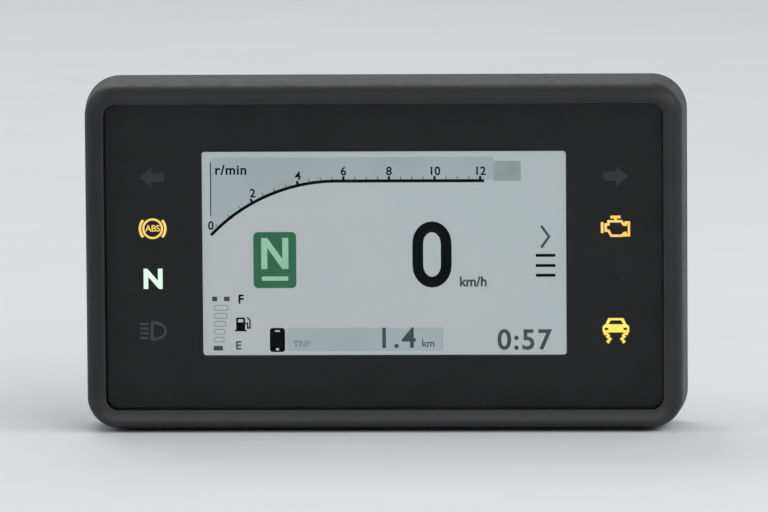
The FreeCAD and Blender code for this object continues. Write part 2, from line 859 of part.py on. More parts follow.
def make_vent_membrane():
    body = new_body("vent_membrane")
    disc = circle_sketch(body, vent_floor - s.membrane_thick, [(vent_x, s.vent_z)], s.membrane_radius)
    pad(body, disc, s.membrane_thick)
    return body


def make_vent_cap():
    """The cap over the breather membrane, with four air slots under its rim."""
    body = new_body("vent_cap")
    place = [(vent_x, s.vent_z)]
    disc = circle_sketch(body, vent_floor, place, s.vent_radius)
    pad(body, disc, s.vent_cap_height + s.vent_recess, rearward=True)
    cap_top = vent_floor - s.vent_recess - s.vent_cap_height
    dress(body, "Fillet", s.vent_cap_round, at_depth(cap_top))
    chamber = circle_sketch(body, vent_floor, place, s.membrane_radius + s.membrane_gap)
    pocket(body, chamber, s.vent_chamber)
    half = s.vent_slot_width / 2
    reach = s.vent_radius * 2
    for across, up in ((reach, half), (half, reach)):
        slot = new_sketch(body, vent_floor)
        add_rectangle(slot, vent_x - across, vent_x + across, s.vent_z - up, s.vent_z + up)
        pocket(body, slot, s.vent_slot_depth)
    return body


# ---------------------------------------------------------------------------------------------------
# Lens stack
# ---------------------------------------------------------------------------------------------------


def make_lens():
    body = new_body("lens_window")
    plate = new_sketch(body, lens_back)
    add_outline(plate, face_outline)
    pad(body, plate, s.lens_thick)
    dress(body, "Chamfer", s.lens_bevel, at_depth(lens_front))
    return body


def make_mask_film():
    """The black printed film behind the lens, die-cut for the screen."""
    window = (s.screen_width, s.screen_height, s.screen_corner)
    outer = inset(face_outline, s.film_inset)
    return flat_ring("mask_film", film_back, lens_back, outer, window, 0, s.screen_rise)


def make_lens_tape():
    """The adhesive frame that holds film and lens on the bezel's ledge."""
    outer = inset(face_outline, s.film_inset)
    return flat_ring("lens_tape", tape_back, film_back, outer, inset(outer, s.tape_width))


# ---------------------------------------------------------------------------------------------------
# Display module
# ---------------------------------------------------------------------------------------------------


def make_panel_foam():
    outer = (module_width - s.foam_inset * 2, module_height - s.foam_inset * 2, s.module_radius)
    edge = s.foam_width * 2
    inner = (outer[0] - edge, outer[1] - edge, s.module_radius)
    return flat_ring("panel_foam", module_front, film_back, outer, inner, module_z)


def make_panel_frame():
    """The pressed steel frame that clasps the display, with a slot for the flat cable."""
    body = new_body("panel_frame")
    shell = new_sketch(body, module_back)
    add_outline(shell, module_outline, 0, module_z)
    pad(body, shell, s.module_depth)
    inside = new_sketch(body, module_back)
    add_outline(inside, inset(module_outline, s.frame_sheet), 0, module_z)
    pocket(body, inside, s.module_depth - s.frame_sheet, forward=True)
    window = new_sketch(body, module_front)
    margin = s.frame_window_margin * 2
    view = (s.screen_width + margin, s.screen_height + margin, s.screen_corner)
    add_outline(window, view, 0, s.screen_rise)
    pocket(body, window)
    slot = new_sketch(body, front_glass_back - s.flex_gap / 2)
    half = s.flex_width / 2 + s.flex_gap
    low = module_z - module_height / 2
    add_rectangle(slot, -half, half, low - s.frame_sheet, low + s.frame_sheet * 2)
    pocket(body, slot, s.flex_thick + s.flex_gap, forward=True)
    return body


def make_lcd_glass():
    """Two bonded glass plates. The rear one is longer and carries the driver chip."""
    body = new_body("lcd_glass")
    half = glass_width / 2
    high = glass_low + glass_height
    rear = new_sketch(body, rear_glass_back)
    add_rectangle(rear, -half, half, glass_low, high)
    pad(body, rear, s.glass_thick)
    front = new_sketch(body, front_glass_back)
    add_rectangle(front, -half, half, glass_low + s.glass_ledge, high)
    pad(body, front, s.glass_thick)
    return body


def make_driver_chip():
    place = [(0, glass_low + s.driver_rise)]
    top = front_glass_back + s.driver_thick
    return blocks("driver_chip", s.driver_width, s.driver_height, front_glass_back, top, place)


def optical_sheet(label, low, high):
    """One of the sheets behind the glass: all have the light guide's outline."""
    return blocks(label, guide_width, guide_height, low, high, [(0, module_z)], s.guide_radius)


def make_backlight_leds():
    """A row of white LEDs along the left edge of the light guide."""
    width = s.light_bar_width - s.tray_gap * 2
    x = -(guide_width + s.light_bar_width) / 2
    spread = guide_height - s.backlight_led_margin * 2
    length = s.backlight_led_length
    top = [(x, spread / 2 + module_z)]
    body = blocks("backlight_leds", width, length, guide_back, diffuser_back, top)
    repeat(body, body.Tip, spread, BACKLIGHT_LED_COUNT)
    return body


def make_backlight_tray():
    """The white moulded tray behind the glass."""
    body = new_body("backlight_tray")
    outline = inset(module_outline, s.frame_sheet + s.tray_gap)
    outer = new_sketch(body, module_back)
    add_outline(outer, outline, 0, module_z)
    pad(body, outer, rear_glass_back - module_back)
    hollow = new_sketch(body, rear_glass_back)
    width, height, radius = outline
    edge = s.tray_wall * 2
    add_outline(hollow, (width - edge, height - edge, radius), 0, module_z)
    pocket(body, hollow, rear_glass_back - tray_floor_front)
    return body


def make_panel_flex():
    """The flat cable: off the glass, back under the module and up into its socket on the board."""
    body = new_body("panel_flex")
    thick = s.flex_thick
    front = -front_glass_back - thick
    back = -board_front - (s.flex_socket_depth - thick) / 2
    ribbon = new_sketch(body, 0, "YZ_Plane")
    add_polygon(
        ribbon,
        [
            (front, glass_low + s.flex_bond),
            (front, flex_bend_z),
            (back, flex_bend_z),
            (back, flex_socket_low + s.flex_entry),
            (back - thick, flex_socket_low + s.flex_entry),
            (back - thick, flex_bend_z + thick),
            (front + thick, flex_bend_z + thick),
            (front + thick, glass_low + s.flex_bond),
        ],
    )
    pad(body, ribbon, s.flex_width, midplane=True)
    dress(body, "Fillet", s.flex_bend + thick, ribbon_bends(flex_bend_z))
    dress(body, "Fillet", s.flex_bend, ribbon_bends(flex_bend_z + thick))
    return body


def ribbon_bends(level):
    """A test for the cable's bend lines at a height."""

    def test(edge):
        box = edge.BoundBox
        across = box.XLength > 1 and box.YLength < LEVEL and box.ZLength < LEVEL
        return across and abs(box.ZMin - level.value) < LEVEL

    return test


def make_flex_socket():
    """The socket on the board that the flat cable slides up into."""
    body = new_body("flex_socket")
    half = s.flex_width / 2
    shell_half = half + s.flex_socket_border
    high = flex_socket_low + s.flex_socket_height
    shell = new_sketch(body, board_front)
    add_rounded(shell, -shell_half, shell_half, flex_socket_low, high, s.flex_socket_radius)
    pad(body, shell, s.flex_socket_depth)
    slot = new_sketch(body, board_front + (s.flex_socket_depth - s.flex_thick) / 2)
    entry = s.flex_entry
    add_rectangle(slot, -half, half, flex_socket_low - entry, flex_socket_low + entry)
    pocket(body, slot, s.flex_thick, forward=True)
    return body


# ---------------------------------------------------------------------------------------------------
# Inner frame
# ---------------------------------------------------------------------------------------------------


def make_chassis():
    """The moulded frame that holds the display and walls off each warning lamp in its own tunnel."""
    body = new_body("inner_chassis")
    outline = new_sketch(body, board_front)
    add_outline(outline, (chassis_width, chassis_height, s.chassis_radius))
    pad(body, outline, s.board_set_back)
    add_ears(body)

    nest = new_sketch(body, film_back)
    add_outline(nest, outset(module_outline, s.module_gap), 0, module_z)
    pocket(body, nest, film_back - module_back)
    core_width = module_width - s.core_inset * 2
    core_height = module_height - s.core_inset * 2
    core = new_sketch(body, board_front)
    add_outline(core, (core_width, core_height, s.face_radius), 0, module_z)
    pocket(body, core, module_back - s.chassis_floor - board_front, forward=True)
    half_x = core_width / 2 - s.chassis_rail
    half_z = core_height / 2 - s.chassis_rail
    bar = s.chassis_bar / 2
    windows = new_sketch(body, module_back)
    for left, right in ((-half_x, -bar), (bar, half_x)):
        add_rounded(windows, left, right, module_z - half_z, module_z + half_z, s.face_radius)
    pocket(body, windows)

    add_lamp_tunnels(body)
    pilots = circle_sketch(body, board_front, board_screw_places, s.small_screw_shank)
    pocket(body, pilots, s.small_screw_engage + s.small_pilot_spare, forward=True)
    add_flex_passage(body)
    return body


def add_ears(body):
    """The four screw ears above and below, which hang the inner frame in the bezel."""
    arms = new_sketch(body, ear_back)
    for x, z in ear_places:
        edge = chassis_height / (2 if z.value > 0 else -2)
        low, high = sorted((z, edge), key=lambda v: v.value)
        add_rectangle(arms, x - s.ear_radius, x + s.ear_radius, low, high)
    pad(body, arms, s.ear_thick)
    pad(body, circle_sketch(body, ear_back, ear_places, s.ear_radius), s.ear_thick)
    holes = circle_sketch(body, ear_front, ear_places, s.small_screw_shank + s.small_hole_gap)
    pocket(body, holes, s.ear_thick)


def add_lamp_tunnels(body):
    """Four tapered tunnels a side, from each lamp's LED to its symbol on the film."""
    widening = slope((s.tunnel_mouth - s.tunnel_throat) / 2, s.board_set_back)
    for side in SIDES:
        throat = new_sketch(body, board_front)
        outline = (s.tunnel_throat, s.tunnel_throat, s.tunnel_radius)
        add_outline(throat, outline, lamp_x * side, lamp_z(0))
        tunnel = pocket(body, throat, s.board_set_back, forward=True, taper=widening)
        repeat(body, tunnel, s.lamp_pitch * (LAMP_ROWS - 1), LAMP_ROWS)


def add_flex_passage(body):
    """Room for the flat cable and its socket at the bottom edge."""
    half = s.flex_width / 2 + s.flex_socket_border + s.flex_gap
    outside = chassis_height * -1
    edge = new_sketch(body, board_front)
    add_rectangle(edge, -half, half, outside, module_z - module_height / 2)
    pocket(body, edge, front_glass_back + s.flex_thick + s.flex_gap - board_front, forward=True)
    inner = new_sketch(body, board_front)
    top = flex_socket_low + s.flex_socket_height + s.flex_gap
    add_rectangle(inner, -half, half, outside, top)
    pocket(body, inner, s.flex_socket_depth + s.flex_gap, forward=True)


# ---------------------------------------------------------------------------------------------------
# Board
# ---------------------------------------------------------------------------------------------------


def make_main_board():
    body = new_body("main_board")
    outline = new_sketch(body, board_back)
    edge = s.board_inset * 2
    radius = s.chassis_radius - s.board_inset
    add_outline(outline, (chassis_width - edge, chassis_height - edge, radius))
    pad(body, outline, s.board_thick)
    screw_hole = s.small_screw_shank + s.small_hole_gap
    pocket(body, circle_sketch(body, board_front, board_screw_places, screw_hole))
    solder_hole = new_sketch(body, board_front)
    add_first_pin(solder_hole, s.pin_hole_gap)
    first = pocket(body, solder_hole, s.board_thick)
    repeat(body, first, pin_spread_z, PIN_ROWS, pin_spread_x, PIN_COLUMNS)
    return body


def make_telltale_leds():
    lamps = [(side, row) for side in SIDES for row in range(LAMP_ROWS)]
    places = [(lamp_x * side, lamp_z(row)) for side, row in lamps if (side, row) != (1, SENSOR_ROW)]
    top = board_front + s.telltale_thick
    return blocks("telltale_leds", s.telltale_width, s.telltale_height, board_front, top, places)


def make_light_sensor():
    """The sensor that dims the screen at night, in the one tunnel that has no lamp."""
    top = board_front + s.sensor_thick
    place = [(lamp_x, lamp_z(SENSOR_ROW))]
    return blocks("light_sensor", s.sensor_side, s.sensor_side, board_front, top, place)


def chips(label, width, height, thick, places, radius=None):
    """Equal components on the back of the board."""
    return blocks(label, width, height, board_back - thick, board_back, places, radius)


def make_processor():
    side = s.processor_side
    place = [(s.processor_x, s.processor_z)]
    return chips("processor", side, side, s.processor_thick, place)


def make_memory_chips():
    x = s.processor_x + s.processor_side / 2 + s.memory_gap
    places = [(x, s.processor_z + s.memory_pitch * k / 2) for k in SIDES]
    return chips("memory_chips", s.memory_width, s.memory_height, s.memory_thick, places)


def make_quartz_crystal():
    z = s.processor_z + (s.processor_side + s.crystal_height) / 2 + s.crystal_gap
    place = [(s.processor_x, z)]
    return chips("quartz_crystal", s.crystal_width, s.crystal_height, s.crystal_thick, place)


def make_interface_chips():
    places = [(s.interface_x + s.interface_pitch * k, s.interface_z) for k in (-1, 0, 1)]
    width, height = s.interface_width, s.interface_height
    return chips("interface_chips", width, height, s.interface_thick, places)


def make_radio_module():
    """The short-range radio under its pressed shield."""
    place = [(s.radio_x, s.radio_z)]
    body = chips("radio_module", s.radio_width, s.radio_height, s.radio_thick, place, s.radio_radius)
    dress(body, "Fillet", s.radio_round, at_depth(board_back - s.radio_thick))
    return body


def make_inductor():
    side = s.inductor_side
    place = [(s.inductor_x, s.supply_z)]
    body = chips("power_inductor", side, side, s.inductor_thick, place, s.inductor_radius)
    dress(body, "Chamfer", s.inductor_bevel, at_depth(board_back - s.inductor_thick))
    return body


def make_capacitors():
    """Upright electrolytic cans for the supply, each on its square foot."""
    places = [(s.capacitor_x - s.capacitor_pitch * k, s.supply_z) for k in (0, 1)]
    foot = s.capacitor_foot
    thick = s.capacitor_foot_thick
    body = chips("capacitors", foot, foot, thick, places, s.capacitor_foot_radius)
    foot_back = board_back - thick
    cans = circle_sketch(body, foot_back, places, s.capacitor_radius)
    pad(body, cans, s.capacitor_length, rearward=True)
    dress(body, "Fillet", s.capacitor_round, at_depth(foot_back - s.capacitor_length))
    return body


# ---------------------------------------------------------------------------------------------------
# Wiring socket
# ---------------------------------------------------------------------------------------------------


def add_first_pin(sketch, gap=0.0):
    """The outline of the upper left pin, or of its hole."""
    x = pin_spread_x / -2
    z = socket_z + pin_spread_z / 2
    half = s.pin_side / 2 + gap
    add_rectangle(sketch, x - half, x + half, z - half, z + half)


def make_header_pins():
    body = new_body("header_pins")
    section = new_sketch(body, pin_tip)
    add_first_pin(section)
    first = pad(body, section, board_front + s.pin_tail - pin_tip)
    repeat(body, first, pin_spread_z, PIN_ROWS, pin_spread_x, PIN_COLUMNS)
    dress(body, "Chamfer", s.pin_point, at_depth(pin_tip))
    return body


def make_header():
    """The sealed socket: a shroud with a latch ramp and two keys, on a flange inside the case."""
    body = new_body("harness_header")
    shroud = new_sketch(body, socket_mouth)
    add_outline(shroud, socket_outline, 0, socket_z)
    pad(body, shroud, board_back - socket_mouth)
    flange = new_sketch(body, flange_back)
    width = s.socket_width + s.flange_margin * 2
    height = s.socket_height + s.flange_margin * 2
    add_outline(flange, (width, height, s.flange_radius), 0, socket_z)
    pad(body, flange, s.flange_thick)
    cavity = new_sketch(body, socket_mouth)
    inner_width = s.socket_width - s.socket_wall * 2
    inner_height = s.socket_height - s.socket_wall * 2
    add_outline(cavity, (inner_width, inner_height, s.socket_radius), 0, socket_z)
    pocket(body, cavity, s.socket_depth, forward=True)

    top = socket_z + s.socket_height / 2
    low_end = s.socket_proud - s.latch_set_back
    high_end = low_end - s.latch_length
    ramp = new_sketch(body, 0, "YZ_Plane")
    add_polygon(
        ramp,
        [
            (low_end, top - s.root_sink),
            (low_end, top + s.latch_lip),
            (high_end, top + s.latch_height),
            (high_end, top - s.root_sink),
        ],
    )
    pad(body, ramp, s.latch_width, midplane=True)
    bottom = socket_z - s.socket_height / 2
    keys = new_sketch(body, socket_mouth)
    for middle in (s.key_left, s.key_right):
        left = middle - s.key_width / 2
        right = middle + s.key_width / 2
        add_rectangle(keys, left, right, bottom - s.key_height, bottom + s.root_sink)
    pad(body, keys, s.key_length)
    pin_slot = new_sketch(body, socket_floor)
    add_first_pin(pin_slot)
    first = pocket(body, pin_slot, board_back - socket_floor, forward=True)
    repeat(body, first, pin_spread_z, PIN_ROWS, pin_spread_x, PIN_COLUMNS)
    return body


def make_header_seal():
    margin = s.flange_margin - s.flange_seal_inset
    inner = outset(socket_outline, s.socket_gap)
    outer = (s.socket_width + margin * 2, s.socket_height + margin * 2, s.flange_radius)
    return flat_ring("header_seal", hump_inside, flange_back, outer, inner, socket_z)


# ---------------------------------------------------------------------------------------------------
# Screws
# ---------------------------------------------------------------------------------------------------


def make_screws(label, places, seat, head_radius, head_height, shank_radius, length):
    """Pan-head screws that point at the rider. The seat is the depth of the heads' undersides."""
    body = new_body(label)
    pad(body, circle_sketch(body, seat, places, shank_radius), length)
    dress(body, "Chamfer", shank_radius * SCREW_POINT, at_depth(seat + length))
    pad(body, circle_sketch(body, seat, places, head_radius), head_height, rearward=True)
    top = seat - head_height
    dress(body, "Chamfer", head_height * HEAD_BEVEL, at_depth(top))
    arm = head_radius * RECESS_ARM
    slit = head_radius * RECESS_SLIT
    for half_x, half_z in ((arm, slit), (slit, arm)):
        recess = new_sketch(body, top)
        for x, z in places:
            add_rectangle(recess, x - half_x, x + half_x, z - half_z, z + half_z)
        pocket(body, recess, head_height * RECESS_DEPTH, forward=True)
    return body


def make_case_screws():
    length = s.counterbore_floor + s.case_screw_engage
    head = (s.case_screw_head, s.case_screw_head_height)
    seat = seam - s.counterbore_floor
    return make_screws("case_screws", post_places, seat, *head, s.case_screw_shank, length)


def make_chassis_screws():
    length = s.ear_thick + s.small_screw_engage
    head = (s.small_screw_head, s.small_screw_head_height)
    return make_screws("chassis_screws", ear_places, ear_back, *head, s.small_screw_shank, length)


def make_board_screws():
    length = s.board_thick + s.small_screw_engage
    head = (s.small_screw_head, s.small_screw_head_height)
    places = board_screw_places
    return make_screws("board_screws", places, board_back, *head, s.small_screw_shank, length)


# ---------------------------------------------------------------------------------------------------
# The whole cluster
# ---------------------------------------------------------------------------------------------------

nodes = [
    make_front_bezel(),
    make_lens(),
    make_mask_film(),
    make_lens_tape(),
    make_panel_foam(),
    make_panel_frame(),
    make_lcd_glass(),
    make_driver_chip(),
    optical_sheet("diffuser_sheets", diffuser_back, rear_glass_back),
    optical_sheet("light_guide", guide_back, diffuser_back),
    optical_sheet("reflector_sheet", tray_floor_front, guide_back),
    make_backlight_leds(),
    make_backlight_tray(),
    make_panel_flex(),
    make_flex_socket(),
    make_chassis(),
    make_chassis_screws(),
    make_main_board(),
    make_board_screws(),
    make_telltale_leds(),
    make_light_sensor(),
    make_processor(),
    make_memory_chips(),
    make_quartz_crystal(),
    make_interface_chips(),
    make_radio_module(),
    make_inductor(),
    make_capacitors(),
    make_header(),
    make_header_pins(),
    make_header_seal(),
    make_rear_case(),
    make_case_seal(),
    make_case_screws(),
    make_mount_inserts(),
    make_vent_membrane(),
    make_vent_cap(),
]

doc.recompute()
for item in doc.Objects:
    if {"Invalid", "Error"} & set(item.State):
        raise RuntimeError(f"{item.Label} failed: {item.State}")
for node in nodes:
    if node.Shape.isNull() or not node.Shape.isValid() or not node.Shape.Solids:
        raise RuntimeError(f"{node.Label} has no valid solid")
os.makedirs("parts", exist_ok=True)
for node in nodes:
    node.Shape.exportStep(f"parts/{node.Label}.step")
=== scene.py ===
import json
import math

import bmesh
import bpy
from mathutils import Matrix, Quaternion, Vector


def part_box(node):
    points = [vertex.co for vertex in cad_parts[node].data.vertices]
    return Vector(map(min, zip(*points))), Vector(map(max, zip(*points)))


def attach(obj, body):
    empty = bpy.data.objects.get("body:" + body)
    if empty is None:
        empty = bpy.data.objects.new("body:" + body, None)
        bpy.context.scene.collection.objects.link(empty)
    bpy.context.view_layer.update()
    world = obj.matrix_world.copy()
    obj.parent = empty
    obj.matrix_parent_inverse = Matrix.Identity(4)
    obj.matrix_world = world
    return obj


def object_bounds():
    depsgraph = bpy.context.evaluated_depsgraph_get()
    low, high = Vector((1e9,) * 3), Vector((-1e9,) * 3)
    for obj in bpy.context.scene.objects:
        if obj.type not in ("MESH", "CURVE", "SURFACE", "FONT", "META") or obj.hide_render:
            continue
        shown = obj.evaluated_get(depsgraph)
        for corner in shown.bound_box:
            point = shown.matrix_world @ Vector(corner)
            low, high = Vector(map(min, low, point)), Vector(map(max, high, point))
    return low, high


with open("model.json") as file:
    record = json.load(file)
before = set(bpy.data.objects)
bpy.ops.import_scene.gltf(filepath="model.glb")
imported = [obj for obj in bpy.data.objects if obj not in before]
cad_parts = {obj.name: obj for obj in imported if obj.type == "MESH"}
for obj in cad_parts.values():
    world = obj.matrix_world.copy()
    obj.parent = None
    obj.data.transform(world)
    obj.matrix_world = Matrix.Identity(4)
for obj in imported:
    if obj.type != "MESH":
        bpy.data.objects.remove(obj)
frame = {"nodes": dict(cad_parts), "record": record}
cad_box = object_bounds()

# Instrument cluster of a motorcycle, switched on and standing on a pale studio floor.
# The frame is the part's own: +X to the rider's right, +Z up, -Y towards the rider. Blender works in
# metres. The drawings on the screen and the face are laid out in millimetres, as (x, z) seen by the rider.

MM = 0.001

# ---------------------------------------------------------------------------------------------------
# Colours
# ---------------------------------------------------------------------------------------------------


def tone(red, green, blue):
    """A colour written as a screen shows it, from 0 to 255, as the linear values that shaders take."""
    shares = [value / 255 for value in (red, green, blue)]
    linear = [v / 12.92 if v <= 0.04045 else ((v + 0.055) / 1.055) ** 2.4 for v in shares]
    return (*linear, 1.0)


def shaded(colour, factor):
    """A colour made darker or lighter by a factor."""
    return (*[min(1.0, value * factor) for value in colour[:3]], 1.0)


SCREEN_GROUND = tone(174, 177, 179)
SCREEN_GROUND_COOL = tone(168, 178, 179)
SCREEN_TINT = tone(157, 168, 170)
SCREEN_TINT_DEEP = tone(150, 161, 163)
SCREEN_BAND = tone(149, 160, 160)
SCREEN_BLOCK = tone(136, 144, 144)
INK = tone(12, 15, 18)
INK_PALE = tone(22, 26, 30)
SOFT_INK = tone(62, 72, 74)
SOFT_INK_PALE = tone(76, 86, 88)
FAINT_INK = tone(112, 120, 124)
GEAR_GREEN = tone(47, 95, 72)
GEAR_GREEN_LIT = tone(54, 104, 79)
GEAR_PALE = tone(145, 189, 165)
GEAR_PALE_DEEP = tone(140, 186, 160)
LAMP_AMBER = tone(255, 216, 128)
LAMP_AMBER_DEEP = tone(255, 204, 100)
LAMP_YELLOW = tone(255, 230, 118)
LAMP_YELLOW_DEEP = tone(250, 224, 96)
LAMP_WHITE = tone(228, 250, 234)
LAMP_WHITE_DEEP = tone(214, 250, 224)
LAMP_OFF = tone(64, 64, 68)
LAMP_OFF_DEEP = tone(58, 58, 61)
LAMP_DIM = tone(84, 84, 87)
LAMP_DIM_DEEP = tone(76, 76, 79)
BOARD_GREEN = tone(14, 62, 38)
TRACK_GREEN = tone(34, 98, 60)
FLEX_AMBER = tone(150, 84, 30)
FLEX_DARK, FLEX_PALE = tone(122, 62, 20), tone(176, 106, 44)
# lighter colour of sharp edges: partly rubbed plastic, partly a painted highlight along the edges
RUBBED_AND_HIGHLIT_PLASTIC = tone(74, 74, 76)

# ---------------------------------------------------------------------------------------------------
# Finishes
# ---------------------------------------------------------------------------------------------------

NOISE_LOW, NOISE_HIGH = 0.3, 0.7  # what most of a noise's values lie between
EDGE_BEGINS, EDGE_FULL = 0.995, 0.93  # how well the rounded and the true normal agree at an edge that is rubbed and given a painted highlight
# how far sharp edges are lightened, as rubbed wear and as a painted highlight
EDGE_WEAR_AND_HIGHLIGHT = 0.6
BEVEL_SAMPLES = 4
COATED_INDEX = 1.05  # refractive index that reflects as little as an anti-reflective coating
ACRYLIC_INDEX = 1.49
FACE_SHINE = 0.16  # roughness of what lies behind the lens, and shines in its place
UNLIT = 0.2  # share of a lit colour that is left as paint


class Finish:
    """A material on a Principled shader, with the nodes that give it grain, mottling and wear."""

    def __init__(self, name, colour, roughness, **settings):
        self.material = bpy.data.materials.new(name)
        self.material.use_nodes = True
        self.tree = self.material.node_tree
        self.shader = self.tree.nodes["Principled BSDF"]
        self.colour = colour
        self.set("Base Color", colour)
        self.set("Roughness", roughness)
        for socket, value in settings.items():
            self.set(socket.replace("_", " "), value)
        self.place = self.node("ShaderNodeTexCoord").outputs["Object"]

    def set(self, socket, value):
        """Sets an input of the shader."""
        self.shader.inputs[socket].default_value = value

    def node(self, kind, **inputs):
        """A new node with some of its inputs set. An underscore stands for a space."""
        made = self.tree.nodes.new(kind)
        for socket, value in inputs.items():
            made.inputs[socket.replace("_", " ")].default_value = value
        return made

    def link(self, output, target):
        self.tree.links.new(output, target)

    def noise(self, size, detail=4.0, stretch=(1.0, 1.0, 1.0)):
        """Soft noise whose blotches are about a size across, in millimetres."""
        made = self.node("ShaderNodeTexNoise", Scale=1 / (size * MM), Detail=detail)
        if stretch != (1.0, 1.0, 1.0):
            mapping = self.node("ShaderNodeMapping", Scale=stretch)
            self.link(self.place, mapping.inputs["Vector"])
            self.link(mapping.outputs["Vector"], made.inputs["Vector"])
        else:
            self.link(self.place, made.inputs["Vector"])
        return made.outputs["Fac"]

    def cells(self, size):
        """Distance from the nearest of many points, about a size apart, in millimetres."""
        made = self.node("ShaderNodeTexVoronoi", Scale=1 / (size * MM))
        self.link(self.place, made.inputs["Vector"])
        return made.outputs["Distance"]

    def ramp(self, factor, low, high, start=0.35, end=0.65):
        """Blends from one colour to another as a factor goes from start to end."""
        made = self.node("ShaderNodeValToRGB")
        first, last = made.color_ramp.elements
        first.position, first.color = start, low
        last.position, last.color = end, high
        self.link(factor, made.inputs["Fac"])
        return made.outputs["Color"]

    def span(self, factor, low, high):
        """Maps a noise's middle range onto the values from low to high."""
        limits = {"From_Min": NOISE_LOW, "From_Max": NOISE_HIGH, "To_Min": low, "To_Max": high}
        made = self.node("ShaderNodeMapRange", **limits)
        self.link(factor, made.inputs["Value"])
        return made.outputs["Result"]

    def bump(self, *layers):
        """Relief from layers of height, each with its depth in millimetres."""
        normal = None
        for height, depth in layers:
            made = self.node("ShaderNodeBump", Strength=1.0, Distance=depth * MM)
            self.link(height, made.inputs["Height"])
            if normal is not None:
                self.link(normal, made.inputs["Normal"])
            normal = made.outputs["Normal"]
        self.link(normal, self.shader.inputs["Normal"])
        return self

    def mottle(self, size, other):
        """Drifts from the colour to another one over patches of a size, in millimetres."""
        drift = self.ramp(self.noise(size), self.colour, other)
        self.link(drift, self.shader.inputs["Base Color"])
        return self

    def patchy(self, size, low, high):
        """Varies the roughness over patches of a size, in millimetres."""
        shine = self.span(self.noise(size, detail=6.0), low, high)
        self.link(shine, self.shader.inputs["Roughness"])
        return self

    def worn_and_highlit(self, radius, colour):
        """Lightens the sharp edges of a mottled finish to another colour, unevenly, within a radius:
        rubbed wear and a painted highlight.
        """
        bevel = self.node("ShaderNodeBevel", Radius=radius * MM)
        bevel.samples = BEVEL_SAMPLES
        geometry = self.node("ShaderNodeNewGeometry")
        turn = self.node("ShaderNodeVectorMath")
        turn.operation = "DOT_PRODUCT"
        self.link(bevel.outputs["Normal"], turn.inputs[0])
        self.link(geometry.outputs["Normal"], turn.inputs[1])
        edge = self.node("ShaderNodeMapRange", From_Min=EDGE_BEGINS, From_Max=EDGE_FULL, To_Max=EDGE_WEAR_AND_HIGHLIGHT)
        self.link(turn.outputs["Value"], edge.inputs["Value"])
        uneven = self.node("ShaderNodeMath")
        uneven.operation = "MULTIPLY"
        self.link(edge.outputs["Result"], uneven.inputs[0])
        self.link(self.span(self.noise(2.5, detail=6.0), 0.2, 1.0), uneven.inputs[1])
        blend = self.node("ShaderNodeMix")
        blend.data_type = "RGBA"
        below = self.shader.inputs["Base Color"]
        self.link(below.links[0].from_socket, blend.inputs["A"])
        blend.inputs["B"].default_value = colour
        self.link(uneven.outputs["Value"], blend.inputs["Factor"])
        self.link(blend.outputs["Result"], below)
        return self

    def glow(self, colour, strength, other, size):
        """Gives off light that drifts from the colour to another one over patches of a size."""
        self.set("Emission Strength", strength)
        self.set("Emission Color", colour)
        drift = self.ramp(self.noise(size, detail=1.0), colour, other, NOISE_LOW, NOISE_HIGH)
        self.link(drift, self.shader.inputs["Emission Color"])
        return self


def moulded(name, colour, lighter, roughness, grain, relief, **settings):
    """Textured black plastic: spark-eroded grain, faint flow patches, and sharp edges lightened as rubbed
    wear and as a painted highlight.
    """
    made = Finish(name, colour, roughness, **settings)
    made.mottle(9.0, lighter).patchy(3.0, roughness - 0.05, roughness + 0.06)
    # lighter sharp edges: rubbed wear and a painted highlight
    made.worn_and_highlit(0.5, RUBBED_AND_HIGHLIT_PLASTIC)
    return made.bump((made.noise(grain, detail=8.0), relief), (made.noise(14.0, detail=2.0), relief))


def metal(name, colour, roughness, brushed=(1.0, 1.0, 1.0)):
    """Bare or plated metal, with fine scratches along a direction and dull patches."""
    made = Finish(name, colour, roughness, Metallic=1.0)
    made.mottle(1.6, shaded(colour, 0.78)).patchy(0.8, roughness * 0.8, roughness * 1.3)
    return made.bump((made.noise(0.25, detail=6.0, stretch=brushed), 0.006))


def soft(name, colour, roughness, cell, relief, **settings):
    """Rubber, foam or film, with small cells or dimples."""
    made = Finish(name, colour, roughness, **settings)
    made.mottle(4.0, shaded(colour, 1.25)).patchy(1.5, roughness - 0.08, roughness + 0.05)
    return made.bump((made.cells(cell), relief))


def make_lens_finish():
    """Clear plastic whose coating lets it reflect little, with the faint ripple of a moulded face."""
    made = Finish("clear_lens", tone(246, 248, 248), 0.02, IOR=COATED_INDEX, Transmission_Weight=1.0)
    made.patchy(5.0, 0.012, 0.03)
    return made.bump((made.noise(6.0, detail=3.0), 0.0008))


def make_board_finish():
    """Green solder mask over copper tracks, which show as paler, slightly raised lines."""
    brick_height = 2.4
    made = Finish("board_green", BOARD_GREEN, 0.3, Coat_Weight=0.5)
    tracks = made.node("ShaderNodeTexBrick", Scale=1 / (brick_height * MM), Mortar_Size=0.06)
    tracks.offset = 0.5
    made.link(made.place, tracks.inputs["Vector"])
    lines = tracks.outputs["Fac"]
    shade = made.ramp(lines, BOARD_GREEN, TRACK_GREEN, 0.2, 0.8)
    made.link(shade, made.shader.inputs["Base Color"])
    return made.bump((lines, 0.03), (made.noise(0.6), 0.01))


def make_flex_finish():
    """Amber polyimide film over parallel copper tracks."""
    wave_size = 6.0
    made = Finish("polyimide", FLEX_AMBER, 0.28, Coat_Weight=0.3)
    tracks = made.node("ShaderNodeTexWave", Scale=1 / (wave_size * MM), Distortion=0.0)
    made.link(made.place, tracks.inputs["Vector"])
    lines = tracks.outputs["Fac"]
    shade = made.ramp(lines, FLEX_DARK, FLEX_PALE, 0.4, 0.6)
    made.link(shade, made.shader.inputs["Base Color"])
    return made.bump((lines, 0.015))


